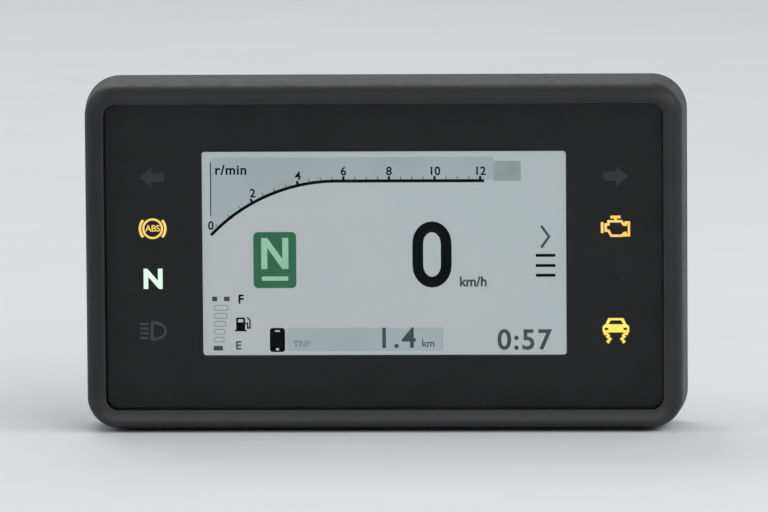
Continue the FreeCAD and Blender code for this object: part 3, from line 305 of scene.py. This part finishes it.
def make_led_finish():
    """Yellow phosphor gel, slightly domed and grainy."""
    made = Finish("led_yellow", tone(226, 196, 70), 0.35, Subsurface_Weight=0.2)
    made.set("Subsurface Scale", 0.3 * MM)
    made.mottle(0.5, tone(236, 222, 150))
    return made.bump((made.cells(0.3), 0.01))


def make_clear_finish():
    """The light guide's clear plastic."""
    clear = tone(240, 244, 246)
    return soft("clear_acrylic", clear, 0.06, 0.9, 0.004, IOR=ACRYLIC_INDEX, Transmission_Weight=0.9)


def make_bezel_finish():
    """The bezel's plastic, duller than the case's."""
    dark, lighter = tone(32, 32, 33), tone(36, 36, 37)
    return moulded("bezel_black", dark, lighter, 0.5, 0.28, 0.012, Specular_IOR_Level=0.3)


def make_finishes():
    """Every finish of the record, by its slot."""
    made = [
        make_bezel_finish(),
        moulded("case_black", tone(30, 30, 31), tone(36, 36, 37), 0.52, 0.4, 0.02),
        moulded("socket_black", tone(24, 24, 25), tone(29, 29, 30), 0.4, 0.3, 0.008),
        make_lens_finish(),
        soft("mask_black", tone(38, 39, 39), 0.5, 0.5, 0.002),
        soft("adhesive", tone(40, 40, 41), 0.6, 0.3, 0.01),
        soft("foam", tone(34, 34, 36), 0.9, 0.25, 0.06),
        soft("seal_rubber", tone(46, 46, 48), 0.6, 0.3, 0.01),
        soft("membrane", tone(226, 226, 222), 0.85, 0.2, 0.02),
        soft("lcd_glass", tone(12, 13, 15), 0.08, 0.6, 0.001, Coat_Weight=1.0),
        soft("optical_white", tone(232, 234, 234), 0.4, 0.8, 0.006),
        soft("chassis_white", tone(206, 208, 206), 0.48, 0.5, 0.01),
        soft("connector_ivory", tone(214, 204, 176), 0.42, 0.4, 0.008),
        soft("chip_black", tone(28, 28, 30), 0.55, 0.15, 0.012),
        make_clear_finish(),
        metal("panel_steel", tone(176, 178, 180), 0.34, (1.0, 1.0, 12.0)),
        metal("screw_zinc", tone(178, 182, 188), 0.3),
        metal("screw_black", tone(92, 92, 98), 0.34),
        metal("shield_tin", tone(190, 190, 188), 0.28, (14.0, 1.0, 1.0)),
        metal("can_aluminium", tone(200, 202, 204), 0.26, (1.0, 1.0, 10.0)),
        metal("pin_tin", tone(204, 204, 200), 0.24, (1.0, 8.0, 1.0)),
        metal("brass", tone(196, 156, 82), 0.32, (1.0, 8.0, 1.0)),
        make_board_finish(),
        make_flex_finish(),
        make_led_finish(),
    ]
    return {finish.material.name: finish.material for finish in made}


def printed(name, colour, other, size):
    """Ink on the back of the coated lens. It carries the shine of the whole face."""
    made = Finish(name, colour, FACE_SHINE, Specular_IOR_Level=0.2).mottle(size, other)
    return made.patchy(6.0, FACE_SHINE - 0.02, FACE_SHINE + 0.02).material


def lit(name, colour, other, size, strength=1.0):
    """A printed or displayed colour that gives off light of its own."""
    made = Finish(name, shaded(colour, UNLIT), FACE_SHINE, Specular_IOR_Level=0.05)
    made.glow(colour, strength, other, size)
    return made.bump((made.cells(0.35), 0.0005)).material


def clear_imported_materials():
    """Frees the slots' names, and returns each node's slot name."""
    slots = {name: node.data.materials[0].name for name, node in frame["nodes"].items()}
    for material in list(bpy.data.materials):
        material.name = "imported_" + material.name
    return slots


node_slots = clear_imported_materials()
finishes = make_finishes()
for name, node in frame["nodes"].items():
    node.material_slots[0].material = finishes[node_slots[name]]

# ---------------------------------------------------------------------------------------------------
# Flat shapes: loops of (x, z) points in millimetres
# ---------------------------------------------------------------------------------------------------

ARC_STEPS = 12
CORNER_STEPS = 6
CIRCLE_POINTS = 24
SHARPEST_MITRE = 0.5  # cosine past which a mitre grows no longer


def arc(x, z, radius, start, end, radius_z=None, steps=ARC_STEPS):
    """Points on an arc or an ellipse's arc, between two angles in degrees."""
    tall = radius if radius_z is None else radius_z
    angles = [math.radians(start + (end - start) * i / steps) for i in range(steps + 1)]
    return [(x + radius * math.cos(a), z + tall * math.sin(a)) for a in angles]


def rounded(x, z, width, height, radius):
    """A rectangle with round corners, about its centre."""
    half_x, half_z = width / 2 - radius, height / 2 - radius
    corners = (
        (half_x, half_z, 0),
        (-half_x, half_z, 90),
        (-half_x, -half_z, 180),
        (half_x, -half_z, 270),
    )
    points = []
    for dx, dz, start in corners:
        points += arc(x + dx, z + dz, radius, start, start + 90, steps=CORNER_STEPS)
    return points


def circle(radius):
    """A circle about the middle, open between its last point and its first."""
    return arc(0, 0, radius, 0, 360 - 360 / CIRCLE_POINTS, steps=CIRCLE_POINTS - 1)


def moved(points, x, z):
    """The points shifted by x and z."""
    return [(x + px, z + pz) for px, pz in points]


def sideways(points, distance, closed):
    """The points shifted to the left of the way they run, with mitred corners."""
    count = len(points)
    result = []
    for i in range(count):
        before = points[i - 1] if closed or i > 0 else points[i]
        after = points[(i + 1) % count] if closed or i < count - 1 else points[i]
        here = Vector(points[i])
        arriving = (here - Vector(before)).normalized() if before != points[i] else None
        leaving = (Vector(after) - here).normalized() if after != points[i] else None
        arriving = arriving or leaving
        leaving = leaving or arriving
        way = (arriving + leaving).normalized()
        normal = Vector((-way.y, way.x))
        cosine = max(SHARPEST_MITRE, normal.dot(Vector((-arriving.y, arriving.x))))
        result.append(tuple(here + normal * distance / cosine))
    return result


def stroke(points, width, closed=False):
    """The loops that outline a line of a width along points."""
    left = sideways(points, width / 2, closed)
    right = sideways(points, -width / 2, closed)
    return [left, right] if closed else [left + right[::-1]]


CAPITAL_HEIGHT = 0.66  # height of the built-in letters' capitals, as a share of the text size
WELD = 1e-7  # points closer than this are joined, in metres
STRAIGHT = math.radians(0.2)  # points at flatter corners than this are dissolved


class Drawing:
    """Thin plates of one colour at one depth, gathered into one piece that faces the rider."""

    def __init__(self, name, material, slot, back, thick):
        self.name = name
        self.material = material
        self.slot = slot
        self.middle = back - thick / 2
        self.thick = thick
        self.mesh = bmesh.new()

    def gather(self, curve):
        """Adds a flat curve, in millimetres, as solid plates."""
        curve.extrude = self.thick / 2
        holder = bpy.data.objects.new("holder", curve)
        plates = bpy.data.meshes.new_from_object(holder)
        upright = Matrix.Rotation(math.pi / 2, 4, "X")
        plates.transform(Matrix.Scale(MM, 4) @ Matrix.Translation((0, self.middle, 0)) @ upright)
        self.mesh.from_mesh(plates)
        bpy.data.objects.remove(holder)
        bpy.data.curves.remove(curve)
        bpy.data.meshes.remove(plates)

    def fill(self, *loops):
        """A filled shape. A loop inside another one is a hole."""
        curve = bpy.data.curves.new(self.name, "CURVE")
        curve.dimensions = "2D"
        curve.fill_mode = "BOTH"
        for loop in loops:
            spline = curve.splines.new("POLY")
            spline.points.add(len(loop) - 1)
            for point, (x, z) in zip(spline.points, loop):
                point.co = (x, z, 0.0, 1.0)
            spline.use_cyclic_u = True
        self.gather(curve)

    def line(self, points, width, closed=False):
        """A line of a width, with square ends and mitred corners."""
        self.fill(*stroke(points, width, closed))

    def text(self, words, x, z, height, weight, spacing=1.0):
        """Lettering centred on a point. The height is that of its capitals, the weight thickens it."""
        curve = bpy.data.curves.new(self.name, "FONT")
        curve.body = words
        curve.align_x = "CENTER"
        curve.align_y = "CENTER"
        curve.size = height / CAPITAL_HEIGHT
        curve.offset = weight
        curve.space_character = spacing
        curve.offset_x = x
        curve.offset_y = z
        self.gather(curve)

    def finish(self):
        """Joins what was gathered into the piece."""
        bmesh.ops.remove_doubles(self.mesh, verts=self.mesh.verts, dist=WELD)
        verts, edges = self.mesh.verts, self.mesh.edges
        bmesh.ops.dissolve_limit(self.mesh, angle_limit=STRAIGHT, verts=verts, edges=edges)
        mesh = bpy.data.meshes.new(self.name)
        self.mesh.to_mesh(mesh)
        self.mesh.free()
        mesh.materials.append(self.material)
        piece = bpy.data.objects.new(self.name, mesh)
        bpy.context.scene.collection.objects.link(piece)
        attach(piece, "root")


# ---------------------------------------------------------------------------------------------------
# The picture on the screen
# ---------------------------------------------------------------------------------------------------

film_low, film_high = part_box("mask_film")
SCREEN_RISE = 0.6  # screen centre above the middle of the face
SCREEN_WIDTH, SCREEN_HEIGHT, SCREEN_CORNER = 93.0, 52.4, 0.8
LAYER = 0.01  # thickness of each layer of the picture, and of the air between them
GROUND_LEVEL, FIELD_LEVEL, SIGN_LEVEL, INK_LEVEL = range(4)  # from the glass towards the rider
glass_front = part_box("lcd_glass")[0].y / MM
film_front = film_low.y / MM


def on_screen(points):
    """Points laid out about the screen's centre, in the part's frame."""
    return moved(points, 0.0, SCREEN_RISE)


class ScreenLayer(Drawing):
    """A colour of the picture, laid out about the screen's centre."""

    def __init__(self, name, level, *colours, **look):
        back = glass_front - LAYER * (2 * level + 1)
        super().__init__(name, lit(name, *colours, **look), "lcd_glass", back, LAYER)

    def fill(self, *loops):
        super().fill(*[on_screen(loop) for loop in loops])

    def text(self, words, x, z, **style):
        super().text(words, x, z + SCREEN_RISE, **style)


TACH_LEFT, TACH_RIGHT = -44.3, 25.6
TACH_TOP = 18.5
TACH_BEND = -12.0  # where the scale starts to curve down
TACH_RADIUS = 44.6
BEND_STEPS = 24
TACH_WIDTH = 0.8
TICK = 1.2  # height of the marks under the numbers
SMALL_TICK = (0.4, 1.1)  # where the small marks between them begin and end
TACH_NUMBERS = ("0", "2", "4", "6", "8", "10", "12")
NUMBER_HEIGHT = 2.0
NUMBER_GAP = 2.4  # from the scale's line to the middle of its numbers
LAST_NUMBER = 24.6
NUMBER_SPAN = 69.8  # from the first number to the last
TINT_TOP = SCREEN_HEIGHT / 2 - 1.6
TINT_RIGHT = TACH_RIGHT + 2.4
TINT_GAP = 0.2  # between the scale's line and the tinted field over it
FIGURE_HEIGHT = 4.8  # of the trip meter and the clock
tach_sweep = math.degrees(math.asin((TACH_BEND - TACH_LEFT) / TACH_RADIUS))


def tach_curve(offset=0.0):
    """The rev counter's scale, from its lower left end, moved outwards by an offset."""
    low, reach = TACH_TOP - TACH_RADIUS, TACH_RADIUS + offset
    bend = arc(TACH_BEND, low, reach, 90 + tach_sweep, 90, steps=BEND_STEPS)
    return bend + [(TACH_RIGHT, TACH_TOP + offset)]


def along_tach(share, offset):
    """A point at a share of the numbers' span, moved outwards by an offset."""
    x = max(TACH_LEFT, LAST_NUMBER - (1 - share) * NUMBER_SPAN)
    if x >= TACH_BEND:
        return (x, TACH_TOP + offset)
    angle = math.acos((x - TACH_BEND) / TACH_RADIUS)
    reach = TACH_RADIUS + offset
    return (TACH_BEND + reach * math.cos(angle), TACH_TOP - TACH_RADIUS + reach * math.sin(angle))


def draw_ground():
    """The screen's pale ground."""
    layer = ScreenLayer("screen_ground", GROUND_LEVEL, SCREEN_GROUND, SCREEN_GROUND_COOL, size=24.0)
    layer.fill(rounded(0, 0, SCREEN_WIDTH, SCREEN_HEIGHT, SCREEN_CORNER))
    layer.finish()


def draw_tints():
    """The field over the rev counter's scale, the band behind the trip meter and a blank block."""
    tint = ScreenLayer("screen_tint", FIELD_LEVEL, SCREEN_TINT, SCREEN_TINT_DEEP, size=16.0)
    rest = [(TINT_RIGHT, TACH_TOP + TINT_GAP), (TINT_RIGHT, TINT_TOP), (TACH_LEFT, TINT_TOP)]
    tint.fill(tach_curve(TINT_GAP) + rest)
    tint.finish()
    band = ScreenLayer("screen_band", FIELD_LEVEL, SCREEN_BAND, SCREEN_TINT, size=14.0)
    band.fill(rounded(-5.0, -22.2, 40.0, 6.0, 0.6))
    band.finish()
    block = ScreenLayer("screen_block", FIELD_LEVEL, SCREEN_BLOCK, SCREEN_TINT_DEEP, size=6.0)
    block.fill(rounded(31.5, 21.0, 7.0, 5.2, 0.5))
    block.finish()


def draw_tach(ink, soft_ink):
    """The rev counter's scale with its marks and numbers."""
    ink.line(tach_curve(), TACH_WIDTH)
    last = len(TACH_NUMBERS) - 1
    for i, number in enumerate(TACH_NUMBERS):
        x, z = along_tach(i / last, 0.0)
        ink.text(number, x, z + NUMBER_GAP, height=NUMBER_HEIGHT, weight=0.06)
        if i > 0:
            ink.line([(x, z), along_tach(i / last, TICK)], 0.6)
        if i < last:
            for step in (0.25, 0.5, 0.75):
                share = (i + step) / last
                soft_ink.line([along_tach(share, end) for end in SMALL_TICK], 0.22)
    ink.text("r/min", -39.1, 21.3, height=2.3, weight=0.08, spacing=1.1)


def draw_speed(ink, soft_ink):
    """The speed, a tall narrow nought, with its unit."""
    x, z, width, height, weight = 12.2, -0.4, 10.0, 15.6, 2.75
    radius = (width - weight) / 2
    taller = radius + weight / 4
    straight = (height - width) / 2
    top = arc(x, z + straight, radius, 0, 180, taller)
    bottom = arc(x, z - straight, radius, 180, 360, taller)
    ink.line(top + bottom, weight, closed=True)
    soft_ink.text("km/h", 22.7, -7.5, height=2.3, weight=0.1)


def draw_side_marks(ink, soft_ink):
    """The arrow and the list sign at the right edge, and the fine line at the left edge."""
    soft_ink.line([(40.1, 6.9), (42.1, 4.1), (40.1, 1.3)], 0.65)
    for z in (-0.7, -3.3, -5.8):
        ink.line([(38.7, z), (43.7, z)], 0.75)
    soft_ink.line([(TACH_LEFT, 9.5), (TACH_LEFT, 23.5)], 0.3)


def draw_fuel(ink, soft_ink, faint_ink):
    """The fuel gauge, nearly empty: unlit bars between the marks for full and empty, and the pump sign."""
    bars, left, lowest, pitch = 5, -43.6, -22.2, 2.05
    height, corner = 1.2, 0.2
    for i in range(bars):
        width = 2.4 + 0.25 * i
        bar = rounded(left + width / 2, lowest + i * pitch, width, height, corner)
        faint_ink.line(bar, 0.2, closed=True)
    for x, z, width in ((-43.5, -11.7, 1.3), (-40.4, -11.7, 1.5), (-42.7, -24.4, 2.4)):
        soft_ink.fill(rounded(x, z, width, height, corner))
    ink.text("F", -36.8, -11.9, height=2.1, weight=0.1)
    soft_ink.text("E", -37.5, -23.8, height=2.0, weight=0.08)
    draw_pump(ink, -36.9, -18.1)


def draw_pump(ink, x, z):
    """The sign of a fuel pump: a body with a window, on a foot, with its hose."""
    ink.fill(rounded(x, z, 2.3, 3.2, 0.3), rounded(x, z + 0.75, 1.3, 0.8, 0.15))
    ink.line([(x - 1.5, z - 1.75), (x + 1.5, z - 1.75)], 0.4)
    hose = [(x + 1.15, z + 0.1), (x + 1.8, z + 0.1), (x + 1.8, z - 1.1)]
    hose += [(x + 2.4, z - 1.1), (x + 2.4, z + 0.9), (x + 1.7, z + 1.6)]
    ink.line(hose, 0.35)


def draw_phone(ink):
    """The sign of a linked telephone."""
    x, z = -27.5, -22.3
    speaker = rounded(x, z + 2.3, 1.3, 0.4, 0.15)
    button = rounded(x, z - 2.4, 0.8, 0.6, 0.2)
    ink.fill(rounded(x, z, 3.9, 6.2, 0.8), speaker, button)


def draw_trip(soft_ink, faint_ink):
    """The trip meter and the clock."""
    faint_ink.text("TRIP", -21.2, -23.4, height=1.5, weight=0.06)
    soft_ink.text("1.4", 3.0, -22.1, height=FIGURE_HEIGHT, weight=0.12, spacing=1.16)
    soft_ink.text("km", 11.1, -23.3, height=1.8, weight=0.04)
    soft_ink.text("0:57", 35.7, -22.6, height=FIGURE_HEIGHT, weight=0.14, spacing=1.13)


def draw_gear():
    """The green box with the neutral sign, underlined."""
    x, z, width, height = -28.0, -1.75, 11.0, 14.4
    box = ScreenLayer("screen_gear_box", FIELD_LEVEL, GEAR_GREEN, GEAR_GREEN_LIT, size=8.0)
    box.fill(rounded(x, z, width, height, 1.2))
    box.finish()
    sign = ScreenLayer("screen_gear_sign", SIGN_LEVEL, GEAR_PALE, GEAR_PALE_DEEP, size=5.0)
    sign.fill(letter_n(x, z + 1.7, width=6.95, height=8.0, weight=1.55, notch=2.6))
    sign.fill(rounded(x, z - 4.75, 6.8, 1.1, 0.3))
    sign.finish()


def letter_n(x, z, width, height, weight, notch):
    """The outline of an N. The notch is how far its diagonal stays from the corners it passes."""
    outer, inner = width / 2, width / 2 - weight
    half = height / 2
    rise = [(-outer, -half), (-inner, -half), (-inner, half - notch), (inner, -half), (outer, -half)]
    fall = [(-px, -pz) for px, pz in rise]
    return moved(rise + fall, x, z)


def draw_picture():
    """Everything on the screen. The three inks are shared by its drawings."""
    draw_ground()
    draw_tints()
    draw_gear()
    ink = ScreenLayer("screen_ink", INK_LEVEL, INK, INK_PALE, size=6.0, strength=0.5)
    soft = {"size": 6.0, "strength": 0.9}
    soft_ink = ScreenLayer("screen_soft_ink", INK_LEVEL, SOFT_INK, SOFT_INK_PALE, **soft)
    faint_ink = ScreenLayer("screen_faint_ink", SIGN_LEVEL, FAINT_INK, SCREEN_BLOCK, size=6.0)
    draw_tach(ink, soft_ink)
    draw_speed(ink, soft_ink)
    draw_side_marks(ink, soft_ink)
    draw_fuel(ink, soft_ink, faint_ink)
    draw_phone(ink)
    draw_trip(soft_ink, faint_ink)
    for layer in (ink, soft_ink, faint_ink):
        layer.finish()


# ---------------------------------------------------------------------------------------------------
# The printing on the back of the lens, with the warning lamps' symbols
# ---------------------------------------------------------------------------------------------------

LAMP_X = 59.1
LAMP_PITCH = 13.15
LAMP_ROWS = 4
PRINT_THICK = 0.02
FACE_CORNER = 2.7
SENSOR_RADIUS = 0.9


def draw_face_print():
    """The dark grey printing on the back of the lens, with its window for the screen."""
    ink = printed("face_print", tone(36, 36, 36), tone(33, 33, 33), size=6.0)
    printing = Drawing("face_print", ink, "mask_black", film_front, PRINT_THICK)
    size = (film_high - film_low) / MM
    window = rounded(0, SCREEN_RISE, SCREEN_WIDTH, SCREEN_HEIGHT, SCREEN_CORNER)
    printing.fill(rounded(0, 0, size.x, size.z, FACE_CORNER), window)
    printing.finish()


class Symbol(Drawing):
    """A symbol in the lens's printing, about its lamp's centre."""

    def __init__(self, name, material, side, row):
        slot = "led_yellow" if material.name.startswith("lamp_lit") else "mask_black"
        super().__init__(name, material, slot, film_front - PRINT_THICK / 2, PRINT_THICK)
        self.x = LAMP_X * side
        self.z = SCREEN_RISE + LAMP_PITCH * ((LAMP_ROWS - 1) / 2 - row)

    def fill(self, *loops):
        super().fill(*[moved(loop, self.x, self.z) for loop in loops])

    def text(self, words, x, z, **style):
        super().text(words, self.x + x, self.z + z, **style)


def draw_turn_arrow(side, material):
    """A turn signal's arrow, which points outwards."""
    symbol = Symbol("lamp_turn_left" if side < 0 else "lamp_turn_right", material, side, 0)
    points = [(3.2, 0.0), (0.2, 2.6), (0.2, 1.2), (-3.0, 1.2), (-3.0, -1.2), (0.2, -1.2), (0.2, -2.6)]
    symbol.fill([(x * side, z) for x, z in points])
    symbol.finish()


def draw_brake_lamp(material):
    """The anti-lock brake sign: letters in a ring between two brackets."""
    symbol = Symbol("lamp_brake", material, -1, 1)
    ring, bracket, half_bracket = 2.4, 3.25, 42
    symbol.line(circle(ring), 0.55, closed=True)
    for middle in (0, 180):
        symbol.line(arc(0, 0, bracket, middle - half_bracket, middle + half_bracket), 0.65)
    symbol.text("ABS", 0, 0, height=1.55, weight=0.03, spacing=0.92)
    symbol.finish()


def draw_neutral_lamp(material):
    """The neutral sign."""
    symbol = Symbol("lamp_neutral", material, -1, 2)
    symbol.text("N", 0, 0, height=4.5, weight=0.28)
    symbol.finish()


def draw_beam_lamp(material):
    """The main beam sign: a lamp in side view with four level rays."""
    symbol = Symbol("lamp_beam", material, -1, 3)
    bulge, half_height, back = 2.9, 2.1, -0.4
    front = arc(0.2, 0, bulge, 90, -90, half_height)
    symbol.line(front + [(back, -half_height), (back, half_height)], 0.7, closed=True)
    for z in (1.8, 0.6, -0.6, -1.8):
        symbol.line([(-1.3, z), (-3.4, z)], 0.6)
    symbol.finish()


def draw_engine_lamp(material):
    """The engine sign: the outline of a block with its cap, pulley and fan."""
    symbol = Symbol("lamp_engine", material, 1, 1)
    block = [
        (-2.5, -0.8),
        (-1.8, -0.8),
        (-1.1, -2.1),
        (1.5, -2.1),
        (2.2, -1.4),
        (2.6, -1.4),
        (2.6, -2.0),
        (3.4, -2.0),
        (3.4, 1.3),
        (2.6, 1.3),
        (2.6, 0.7),
        (2.1, 0.7),
        (1.5, 1.6),
        (-1.8, 1.6),
        (-1.8, 0.8),
        (-2.5, 0.8),
    ]
    symbol.line(block, 0.62, closed=True)
    symbol.line([(-3.4, -1.4), (-3.4, 1.4)], 0.7)
    symbol.line([(-1.3, 2.7), (1.3, 2.7)], 0.7)
    symbol.line([(0.0, 2.6), (0.0, 1.7)], 0.7)
    symbol.finish()


def draw_traction_lamp(material):
    """The traction sign: a car from behind over two skid marks."""
    symbol = Symbol("lamp_traction", material, 1, 3)
    flank = [(-3.4, -0.6), (-3.4, 1.0), (-2.7, 1.5), (-1.9, 3.1)]
    body = flank + [(-x, z) for x, z in reversed(flank)]
    window = [(-1.9, 1.5), (-1.3, 2.5), (1.3, 2.5), (1.9, 1.5)]
    lights = [rounded(x, 0.3, 0.9, 0.6, 0.2) for x in (-2.4, 2.4)]
    symbol.fill(body, window, *lights)
    for side in (-1, 1):
        symbol.fill(rounded(side * 2.5, -0.95, 1.2, 0.7, 0.15))
        wave = [(0.0, -1.2), (0.6, -1.7), (-0.2, -2.3), (0.5, -2.9), (0.1, -3.3)]
        symbol.line([(side * (1.6 + x), z) for x, z in wave], 0.6)
    symbol.finish()


def draw_sensor_window(material):
    """The clear dot over the light sensor."""
    symbol = Symbol("sensor_window", material, 1, 2)
    symbol.fill(circle(SENSOR_RADIUS))
    symbol.finish()


def draw_lamps():
    """The two columns of warning symbols, lit, dim or off, and the sensor's window."""
    off = printed("lamp_off", LAMP_OFF, LAMP_OFF_DEEP, size=1.5)
    dim = printed("lamp_dim", LAMP_DIM, LAMP_DIM_DEEP, size=1.5)
    amber = lit("lamp_lit_amber", LAMP_AMBER, LAMP_AMBER_DEEP, size=3.0)
    yellow = lit("lamp_lit_yellow", LAMP_YELLOW, LAMP_YELLOW_DEEP, size=3.0)
    white = lit("lamp_lit_white", LAMP_WHITE, LAMP_WHITE_DEEP, size=3.0)
    dark = printed("sensor_glass", tone(20, 18, 24), tone(28, 24, 32), size=0.8)
    for side in (-1, 1):
        draw_turn_arrow(side, off)
    draw_brake_lamp(amber)
    draw_neutral_lamp(white)
    draw_beam_lamp(dim)
    draw_engine_lamp(amber)
    draw_sensor_window(dark)
    draw_traction_lamp(yellow)


draw_picture()
draw_face_print()
draw_lamps()

# ---------------------------------------------------------------------------------------------------
# Threads in the three brass inserts
# ---------------------------------------------------------------------------------------------------

bolts = next(mount["dims"] for mount in frame["record"]["mounts"] if mount["name"] == "stay_bolts")
THREAD_OUTER = 2.2  # just inside the brass
THREAD_INNER = 1.96
THREAD_PITCH = 0.8
THREAD_FOOT = THREAD_PITCH * 0.9  # width of the ridge where it meets the brass
THREAD_INSET = 0.5  # plain bore at each end
THREAD_STEPS = 36  # points a turn


def thread_rings(mesh, x, z):
    """The ridge's triangular section at each step of a helix, from the insert's mouth inwards."""
    insert_low, insert_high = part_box("mount_inserts")
    mouth, end = insert_high.y / MM - THREAD_INSET, insert_low.y / MM + THREAD_INSET
    turns = (mouth - end - THREAD_PITCH) / THREAD_PITCH
    section = (
        (THREAD_OUTER, 0.0),
        (THREAD_INNER, -THREAD_FOOT / 2),
        (THREAD_OUTER, -THREAD_FOOT),
    )
    rings = []
    for i in range(int(turns * THREAD_STEPS) + 1):
        turn = 2 * math.pi * i / THREAD_STEPS
        y = mouth - THREAD_PITCH * i / THREAD_STEPS
        ring = []
        for radius, along in section:
            spot = (x + radius * math.cos(turn), y + along, z + radius * math.sin(turn))
            ring.append(mesh.verts.new([value * MM for value in spot]))
        rings.append(ring)
    return rings


def add_thread(number):
    """The thread of one insert. The first insert is the lowest."""
    angle = math.radians(360 * number / bolts["count"] - 90)
    circle_radius = bolts["pcd_mm"] / 2
    mesh = bmesh.new()
    rings = thread_rings(mesh, circle_radius * math.cos(angle), circle_radius * math.sin(angle))
    for first, second in zip(rings, rings[1:]):
        for k in range(3):
            mesh.faces.new([first[k], first[(k + 1) % 3], second[(k + 1) % 3], second[k]])
    mesh.faces.new(rings[0])
    mesh.faces.new(rings[-1][::-1])
    bmesh.ops.recalc_face_normals(mesh, faces=mesh.faces)
    data = bpy.data.meshes.new(f"insert_thread_{number + 1}")
    mesh.to_mesh(data)
    mesh.free()
    data.materials.append(finishes["brass"])
    piece = bpy.data.objects.new(data.name, data)
    bpy.context.scene.collection.objects.link(piece)
    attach(piece, "root")


for number in range(bolts["count"]):
    add_thread(number)

# ---------------------------------------------------------------------------------------------------
# Studio: pale floor, soft light, and the camera
# ---------------------------------------------------------------------------------------------------

FLOOR_RADIUS = 12.0
BACKDROP = tone(226, 228, 230)
SKY_LIGHT = 0.62
SKY_SHOWN = 0.8
CAMERA_AZIMUTH = math.radians(2.5)
CAMERA_HEIGHT_ANGLE = math.radians(6.0)
CAMERA_ROLL = math.radians(-0.4)
CAMERA_DISTANCE = 2.0
VIEW_WIDTH = 0.196  # width of what the picture shows, at the object
SENSOR = 36.0
STRIP_DEPTH = -43 * MM  # the front strip's place, in front of the face
STRIP_RISE = 0.5 * MM
STRIP_SIZE = (150 * MM, 12 * MM)
STRIP_POWER = 0.009


def add_floor():
    """A wide floor of pale paper, which the part stands on."""
    mesh = bmesh.new()
    bmesh.ops.create_circle(mesh, cap_ends=True, segments=64, radius=FLOOR_RADIUS)
    data = bpy.data.meshes.new("floor")
    mesh.to_mesh(data)
    mesh.free()
    floor = bpy.data.objects.new("floor", data)
    floor.location.z = cad_box[0].z
    bpy.context.scene.collection.objects.link(floor)
    paper = Finish("floor_paper", BACKDROP, 0.75)
    paper.mottle(60.0, tone(224, 226, 228))
    paper.bump((paper.noise(1.2, detail=6.0), 0.01))
    data.materials.append(paper.material)


def add_softbox(name, place, size, power, target=Vector((0, 0, 0))):
    """A soft rectangular lamp that neither the camera nor the lens shows."""
    light = bpy.data.lights.new(name, "AREA")
    light.shape = "RECTANGLE"
    light.size, light.size_y = size
    light.energy = power
    holder = bpy.data.objects.new(name, light)
    holder.location = place
    holder.rotation_mode = "QUATERNION"
    holder.rotation_quaternion = (target - Vector(place)).to_track_quat("-Z", "Y")
    holder.visible_camera = False
    holder.visible_transmission = False
    bpy.context.scene.collection.objects.link(holder)


def add_front_strip():
    """A low strip under the front edge, for the line of light along the rim's lower round."""
    place = Vector((0.0, STRIP_DEPTH, cad_box[0].z + STRIP_RISE))
    add_softbox("front_strip", place, STRIP_SIZE, STRIP_POWER, place + Vector((0, 0, 1)))


def add_world():
    """An even sky, which looks paler than the light it sheds, also in metal and through glass."""
    world = bpy.data.worlds.new("studio")
    world.use_nodes = True
    nodes, links = world.node_tree.nodes, world.node_tree.links
    background = nodes["Background"]
    background.inputs["Color"].default_value = BACKDROP
    path = nodes.new("ShaderNodeLightPath")
    seen = None
    for ray in ("Is Camera Ray", "Is Glossy Ray", "Is Transmission Ray"):
        either = nodes.new("ShaderNodeMath")
        either.operation = "MAXIMUM"
        links.new(path.outputs[ray], either.inputs[0])
        if seen is not None:
            links.new(seen, either.inputs[1])
        else:
            either.inputs[1].default_value = 0.0
        seen = either.outputs["Value"]
    strength = nodes.new("ShaderNodeMapRange")
    strength.inputs["To Min"].default_value = SKY_LIGHT
    strength.inputs["To Max"].default_value = SKY_SHOWN
    links.new(seen, strength.inputs["Value"])
    links.new(strength.outputs["Result"], background.inputs["Strength"])
    bpy.context.scene.world = world


def add_camera():
    """A long lens, a little above the face and to its right."""
    data = bpy.data.cameras.new("camera")
    data.sensor_width = SENSOR
    data.lens = SENSOR * CAMERA_DISTANCE / VIEW_WIDTH
    data.clip_start, data.clip_end = 0.01, 100.0
    camera = bpy.data.objects.new("camera", data)
    level = math.cos(CAMERA_HEIGHT_ANGLE)
    back = Vector(
        (
            math.sin(CAMERA_AZIMUTH) * level,
            -math.cos(CAMERA_AZIMUTH) * level,
            math.sin(CAMERA_HEIGHT_ANGLE),
        )
    )
    face = Vector((0, film_low.y, 0))
    camera.location = face + back * CAMERA_DISTANCE
    camera.rotation_mode = "QUATERNION"
    roll = Quaternion((0, 0, 1), CAMERA_ROLL)
    camera.rotation_quaternion = (-back).to_track_quat("-Z", "Y") @ roll
    bpy.context.scene.collection.objects.link(camera)
    bpy.context.scene.camera = camera


add_floor()
add_softbox("key", (0.9, -1.7, 1.2), size=(1.3, 1.0), power=13.0)
add_softbox("right", (1.6, -0.5, 1.2), size=(1.0, 0.9), power=12.0)
add_softbox("left", (-1.8, -0.4, 1.2), size=(0.8, 0.9), power=5.0)
add_softbox("back", (-0.5, 1.3, 1.6), size=(1.0, 0.8), power=9.0)
add_front_strip()
add_world()
add_camera()
bpy.context.scene.view_settings.view_transform = "Standard"
